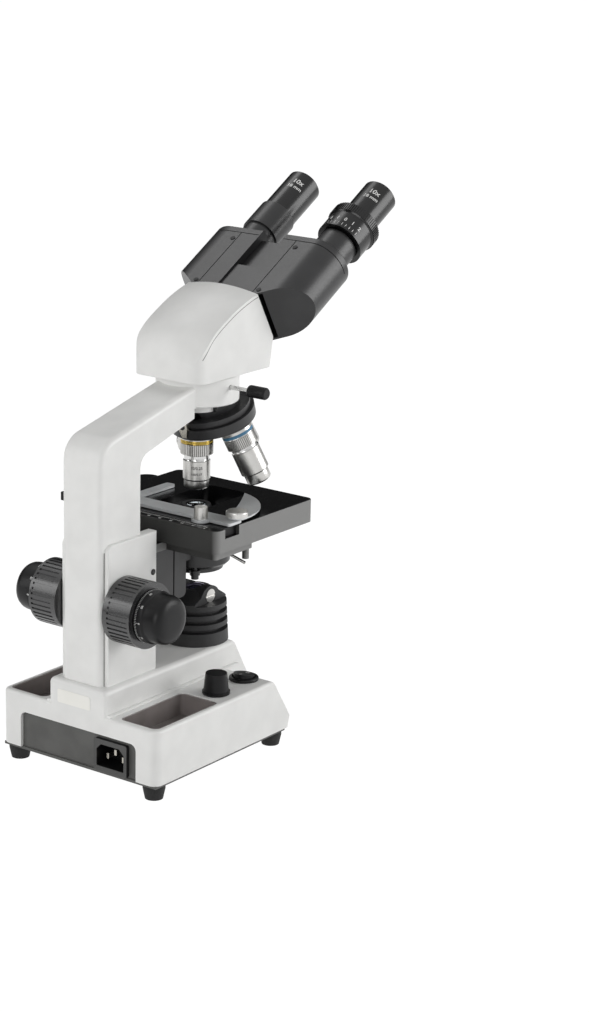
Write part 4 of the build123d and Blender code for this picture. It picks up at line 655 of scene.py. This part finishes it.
def onTube(across, along):  # a point of the eye tubes' own plane as Y and height
    return Vector((across * math.sin(lean) - along * math.cos(lean),
                   prismZ + across * math.cos(lean) + along * math.sin(lean)))


def smoothLine(points, steps):  # an even curve through the points
    points = [Vector(point) for point in points]
    gaps = [(b - a).length for a, b in zip(points, points[1:])]
    slopes = [(b - a) / gap for a, b, gap in zip(points, points[1:], gaps)]
    tangents = [(m * h + n * g) / (g + h) for m, n, g, h in zip(slopes, slopes[1:], gaps, gaps[1:])]
    tangents = [2 * slopes[0] - tangents[0]] + tangents + [2 * slopes[-1] - tangents[-1]]
    line = []
    for a, b, gap, m, n in zip(points, points[1:], gaps, tangents, tangents[1:]):
        for t in (i / steps for i in range(steps)):
            line.append(a * (2 * t ** 3 - 3 * t ** 2 + 1) + b * (3 * t ** 2 - 2 * t ** 3)
                        + (m * (t ** 3 - 2 * t ** 2 + t) + n * (t ** 3 - t ** 2)) * gap)
    return line + [points[-1]]


def headLine(points, brow):  # from the heel up the back to the brow
    browAt = onTube(headShape[brow], headShape["front"])
    return [heel] + smoothLine(headShape[points] + (browAt,), headShape["along"])


def cornerTurn(y):  # how far the plan has turned into its back corner
    return math.asin(min(max((y - cornerY) / headShape["corner"], 0), 1))


def headReach(y):  # half width of the head's plan, rounded at the back
    return cornerX + headShape["corner"] * math.cos(cornerTurn(y))


chin = onTube(headShape["chin"], headShape["front"])
flankLine, ridgeLine = headLine("flank", "flankBrow"), headLine("ridge", "ridgeBrow")
turnAt = next(i for i, spot in enumerate(flankLine) if spot.x < cornerY)
share = (flankLine[turnAt - 1].x - cornerY) / (flankLine[turnAt - 1].x - flankLine[turnAt].x)
for line in (flankLine, ridgeLine):
    line.insert(turnAt, line[turnAt - 1].lerp(line[turnAt], share))

form = bmesh.new()


def headVert(x, spot):
    return form.verts.new(Vector((x, spot.x, spot.y)) * mm)


spans = [2 * i / headShape["across"] - 1 for i in range(headShape["across"] + 1)]
backRows = []
for flank, ridge in zip(flankLine, ridgeLine):
    spots = [ridge.lerp(flank, span ** 2) for span in spans]
    backRows.append([headVert(span * headReach(spot.x), spot) for span, spot in zip(spans, spots)])
for low, high in zip(backRows, backRows[1:]):
    quads(form, low, high)
soles = {}
for side in (-1, 1):
    cornerRows = []
    for spot in flankLine[:turnAt + 1]:
        turns = [cornerTurn(spot.x) * (1 - i / headShape["round"]) for i in range(headShape["round"] + 1)]
        cornerRows.append([headVert(side * (cornerX + headShape["corner"] * math.cos(a)),
                                    Vector((cornerY + headShape["corner"] * math.sin(a), spot.y)))
                           for a in turns])
    for low, high in zip(cornerRows, cornerRows[1:]):
        quads(form, low, high)
    rest = [headVert(side * headShape["half"], spot) for spot in flankLine[turnAt + 1:] + [chin, throat]]
    form.faces.new([row[-1] for row in cornerRows] + rest)
    soles[side] = cornerRows[0] + [rest[-1]]
    soles[side, "chin"] = rest[-2]
form.faces.new(backRows[-1] + [soles[1, "chin"], soles[-1, "chin"]])
form.faces.new((soles[-1, "chin"], soles[1, "chin"], soles[1][-1], soles[-1][-1]))
form.faces.new(backRows[0][1:-1] + soles[1] + soles[-1][::-1])
bmesh.ops.remove_doubles(form, verts=form.verts, dist=headShape["weld"])
bmesh.ops.dissolve_degenerate(form, edges=form.edges, dist=headShape["weld"])
headObject = bpy.data.objects.new("headHousing", shellMesh("headHousing", form, [whiteEnamel]))
softEdge = headObject.modifiers.new("softEdge", "BEVEL")
softEdge.width, softEdge.segments = headShape["softEdge"] * mm, headShape["edgeSteps"]
softEdge.limit_method, softEdge.angle_limit = "ANGLE", math.radians(headShape["edgeOver"])
softEdge.harden_normals = True
addPiece("headHousing", evaluated(headObject), "head", ["head_housing"])
collarRadius, collarFoot = headShape["collar"]
collarTop = headShape["bottom"] + 1
turnedPiece("headCollar", [(whiteEnamel, [(0, collarTop), (collarRadius, collarTop), (collarRadius, collarFoot),
                                          (0, collarFoot)])], unmoved, "head")

# the two castings part along the back edge of each flank; a thin dark strip there is painted shadow for the
# groove between them
partingShadow = {"inside": 2.1, "width": 0.45, "foot": 35.0, "proud": 0.03, "deep": -0.12}
form = bmesh.new()
seam = [spot for spot in flankLine[1:] if spot.x <= partingShadow["foot"]]
for side in (-1, 1):
    strips = []
    for i, spot in enumerate(seam):
        way = (seam[min(i + 1, len(seam) - 1)] - seam[max(i - 1, 0)]).normalized()
        inward = Vector((way.y, -way.x)) * math.copysign(1, way.y)
        ends = [spot - inward * (partingShadow["inside"] + k) for k in (0, partingShadow["width"])]
        strip = []
        for lift, order in ((partingShadow["proud"], ends), (partingShadow["deep"], ends[::-1])):
            for end in order:
                angle = cornerTurn(end.x)
                out = Vector((side * math.cos(angle), math.sin(angle), 0)) * lift
                strip.append(form.verts.new((Vector((side * headReach(end.x), end.x, end.y)) + out) * mm))
        strips.append(strip)
    for a, b in zip(strips, strips[1:]):
        quads(form, a + a[:1], b + b[:1])
    form.faces.new(strips[0])
    form.faces.new(strips[-1])
shellPiece("headPartingShadow", form, [seamShadow], unmoved, "head")

# the neck's top ring, up to the head
neckRing = {"inner": 23.0, "outer": 30.0, "edge": 0.8, "gap": 0.4, "overlap": 1.6}
inner, outer, edge = neckRing["inner"], neckRing["outer"], neckRing["edge"]
ringLow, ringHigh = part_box("arm")[1][2] / mm - neckRing["overlap"], headShape["bottom"] - neckRing["gap"]
turnedPiece("neckRing", [(whiteEnamel, [(inner, ringHigh), (outer - edge, ringHigh), (outer, ringHigh - edge),
                                        (outer, ringLow), (inner, ringLow), (inner, ringHigh)])],
            unmoved, "stand")
print("head formed")

# the focus covers part from the arm along their back edges; a thin dark bar there is painted shadow for the gap
coverGapShadow = {"plan": ((17.3, 123.0), (17.8, 123.0), (17.8, 123.7), (17.3, 123.7)), "low": 71.6, "high": 168.0}
form = bmesh.new()
for side in (-1, 1):
    prism(form, [(side * x, y, coverGapShadow["low"]) for x, y in coverGapShadow["plan"]],
          (0, 0, coverGapShadow["high"] - coverGapShadow["low"]))
shellPiece("coverPartingShadow", form, [seamShadow], unmoved, "stand")

# low ledge along each side of the deck's foot: X and height of its section
ledge = {"section": ((24.8, 52.2), (29.0, 52.2), (29.0, 53.4), (28.4, 53.9), (24.8, 53.9)),
         "front": -16.0, "back": 130.2}
form = bmesh.new()
for side in (-1, 1):
    prism(form, [(side * x, ledge["front"], z) for x, z in ledge["section"]],
          (0, ledge["back"] - ledge["front"], 0))
shellPiece("deckLedge", form, [whiteEnamel], unmoved, "stand")

rocker = {"tilt": math.radians(8), "top": 2.5, "markSize": 4.0, "markAt": 4.2}
rockerUp = Vector((0, -math.sin(rocker["tilt"]), math.cos(rocker["tilt"])))
rockerTop = Vector(joints["switch_rock"]["pos_m"]) / mm + rockerUp * rocker["top"]
printed("rockerMarks", [("I", rocker["markSize"], 0, 0, rocker["markAt"]),
                        ("O", rocker["markSize"], 0, 0, -rocker["markAt"])],
        whiteInk, axisFrame(rockerTop, rockerUp, (1, 0, 0)), "switch_rocker")

# blank label: a thin film with rounded corners on the back of the deck
blankLabel = {"behind": (3.0, 231.4, 59.4), "low": (-14.9, -4.9), "high": (14.9, 4.9), "corner": 1.0,
              "steps": 4, "thick": 0.2, "lift": 0.1}
form = bmesh.new()
prism(form, roundedOutline(blankLabel["low"], blankLabel["high"], blankLabel["corner"], blankLabel["steps"]),
      (0, 0, blankLabel["thick"]))
spot, normal = nodes["base_casting"].ray_cast(Vector(blankLabel["behind"]) * mm, (0, -1, 0))[1:3]
place = axisFrame(spot / mm + normal * blankLabel["lift"], normal, (-1, 0, 0))
shellPiece("blankLabel", form, [labelFilm], place, "stand")
print("switch and label marked")

studio = {"floorHalf": 6.0, "paper": "#F4F4F4", "paperRough": 0.9, "paperGlow": 1.10, "paperShare": 0.90,
          "horizon": 0.62, "zenith": 0.17, "reflectedDark": 0.03, "reflectedTop": 0.9, "reflectedLeft": 0.8,
          "topFrom": 0.35, "topTo": 0.8, "leftFrom": 0.0, "leftTo": 0.8, "brightSide": (-0.95, -0.2, 0.25)}
plainWhite = (1, 1, 1, 1)


def studioFloor():  # takes the shadow, and shows white to the eye, to metal and through glass
    mesh = bpy.data.meshes.new("studioFloor")
    half = studio["floorHalf"]
    corners = [(-half, -half, 0), (half, -half, 0), (half, half, 0), (-half, half, 0)]
    mesh.from_pydata(corners, [], [(0, 1, 2, 3)])
    floor = bpy.data.objects.new("studioFloor", mesh)
    bpy.context.scene.collection.objects.link(floor)
    material, tree, shader = newMaterial("paleBackdropPaper", {
        "Base Color": hexColor(studio["paper"]), "Roughness": studio["paperRough"]})[:3]
    light = addNode(tree, "ShaderNodeEmission", {"Color": plainWhite, "Strength": studio["paperGlow"]})
    path = addNode(tree, "ShaderNodeLightPath").outputs
    seen = addNode(tree, "ShaderNodeMath", {"operation": "MAXIMUM"},
                   {0: path["Is Camera Ray"], 1: path["Is Glossy Ray"]})
    through = addNode(tree, "ShaderNodeMath", {"operation": "MAXIMUM"},
                      {0: seen.outputs[0], 1: path["Is Transmission Ray"]})
    part = addNode(tree, "ShaderNodeMath", {"operation": "MULTIPLY", 1: studio["paperShare"]},
                   {0: through.outputs[0]})
    mix = addNode(tree, "ShaderNodeMixShader", None,
                  {0: part.outputs[0], 1: shader.outputs[0], 2: light.outputs[0]})
    output = next(node for node in tree.nodes if node.type == "OUTPUT_MATERIAL")
    tree.links.new(mix.outputs[0], output.inputs["Surface"])
    mesh.materials.append(material)


def studioSky():  # white to the eye; lights more from the sides than from above; mirrors see a dark side too
    world = bpy.data.worlds.new("softStudio")
    world.use_nodes = True
    tree = world.node_tree
    tree.nodes.clear()
    path = addNode(tree, "ShaderNodeLightPath").outputs
    toward = addNode(tree, "ShaderNodeTexCoord").outputs["Generated"]
    height = addNode(tree, "ShaderNodeSeparateXYZ", None, {0: toward}).outputs["Z"]
    soft = addNode(tree, "ShaderNodeMapRange", {"To Min": studio["horizon"], "To Max": studio["zenith"]},
                   {"Value": height})
    above = addNode(tree, "ShaderNodeMapRange",
                    {"From Min": studio["topFrom"], "From Max": studio["topTo"],
                     "To Min": studio["reflectedDark"], "To Max": studio["reflectedTop"]}, {"Value": height})
    side = addNode(tree, "ShaderNodeVectorMath", {"operation": "DOT_PRODUCT", 1: studio["brightSide"]},
                   {0: toward})
    beside = addNode(tree, "ShaderNodeMapRange",
                     {"From Min": studio["leftFrom"], "From Max": studio["leftTo"],
                      "To Min": studio["reflectedDark"], "To Max": studio["reflectedLeft"]},
                     {"Value": side.outputs["Value"]})
    mirrored = addNode(tree, "ShaderNodeMath", {"operation": "MAXIMUM"},
                       {0: above.outputs[0], 1: beside.outputs[0]})
    lighting = addNode(tree, "ShaderNodeMix", None,
                       {0: path["Is Glossy Ray"], 2: soft.outputs[0], 3: mirrored.outputs[0]})
    seen = addNode(tree, "ShaderNodeMath", {"operation": "MAXIMUM"},
                   {0: path["Is Camera Ray"], 1: path["Is Transmission Ray"]})
    dim = addNode(tree, "ShaderNodeBackground", {"Color": plainWhite}, {"Strength": lighting.outputs[0]})
    white = addNode(tree, "ShaderNodeBackground", {"Color": plainWhite, "Strength": 1.0})
    mix = addNode(tree, "ShaderNodeMixShader", None,
                  {0: seen.outputs[0], 1: dim.outputs[0], 2: white.outputs[0]})
    addNode(tree, "ShaderNodeOutputWorld", None, {"Surface": mix.outputs[0]})
    bpy.context.scene.world = world


studioFloor()
studioSky()

lampAim = Vector((0, 0, 0.2))
softboxes = {
    "keySoftbox": {"place": (-1.5, -1.1, 0.75), "size": (1.1, 1.1), "watts": 17.5},
    "fillSoftbox": {"place": (-0.5, 2.1, 0.8), "size": (1.3, 1.0), "watts": 13.0},
    "sideSoftbox": {"place": (1.5, 1.5, 0.85), "size": (0.7, 1.2), "watts": 8.0},
    "topSoftbox": {"place": (0.8, -0.3, 1.65), "size": (0.6, 0.6), "watts": 2.8},
}
for name, box in softboxes.items():
    data = bpy.data.lights.new(name, "AREA")
    data.shape, (data.size, data.size_y), data.energy = "RECTANGLE", box["size"], box["watts"]
    lamp = bpy.data.objects.new(name, data)
    lamp.location = box["place"]
    lamp.rotation_euler = (lampAim - Vector(box["place"])).to_track_quat("-Z", "Y").to_euler()
    bpy.context.scene.collection.objects.link(lamp)

camera = {"place": (-1.103, 1.3978, 0.682), "right": (-0.8054, -0.5923, 0.0208),
          "ahead": (0.56495, -0.77795, -0.27498), "focalPixels": 2556.14, "longSide": 1012,
          "sensor": 36.0, "near": 0.01, "far": 50}
data = bpy.data.cameras.new("photoCamera")
data.sensor_width, data.sensor_fit = camera["sensor"], "AUTO"
data.lens = camera["focalPixels"] * camera["sensor"] / camera["longSide"]
data.clip_start, data.clip_end = camera["near"], camera["far"]
photoCamera = bpy.data.objects.new("photoCamera", data)
ahead = Vector(camera["ahead"]).normalized()
right = (Vector(camera["right"]) - ahead * Vector(camera["right"]).dot(ahead)).normalized()
photoCamera.matrix_world = Matrix((right, right.cross(ahead), -ahead)).transposed().to_4x4()
photoCamera.location = camera["place"]
bpy.context.scene.collection.objects.link(photoCamera)
bpy.context.scene.camera = photoCamera
bpy.context.scene.view_settings.view_transform = "Standard"
print("studio set")
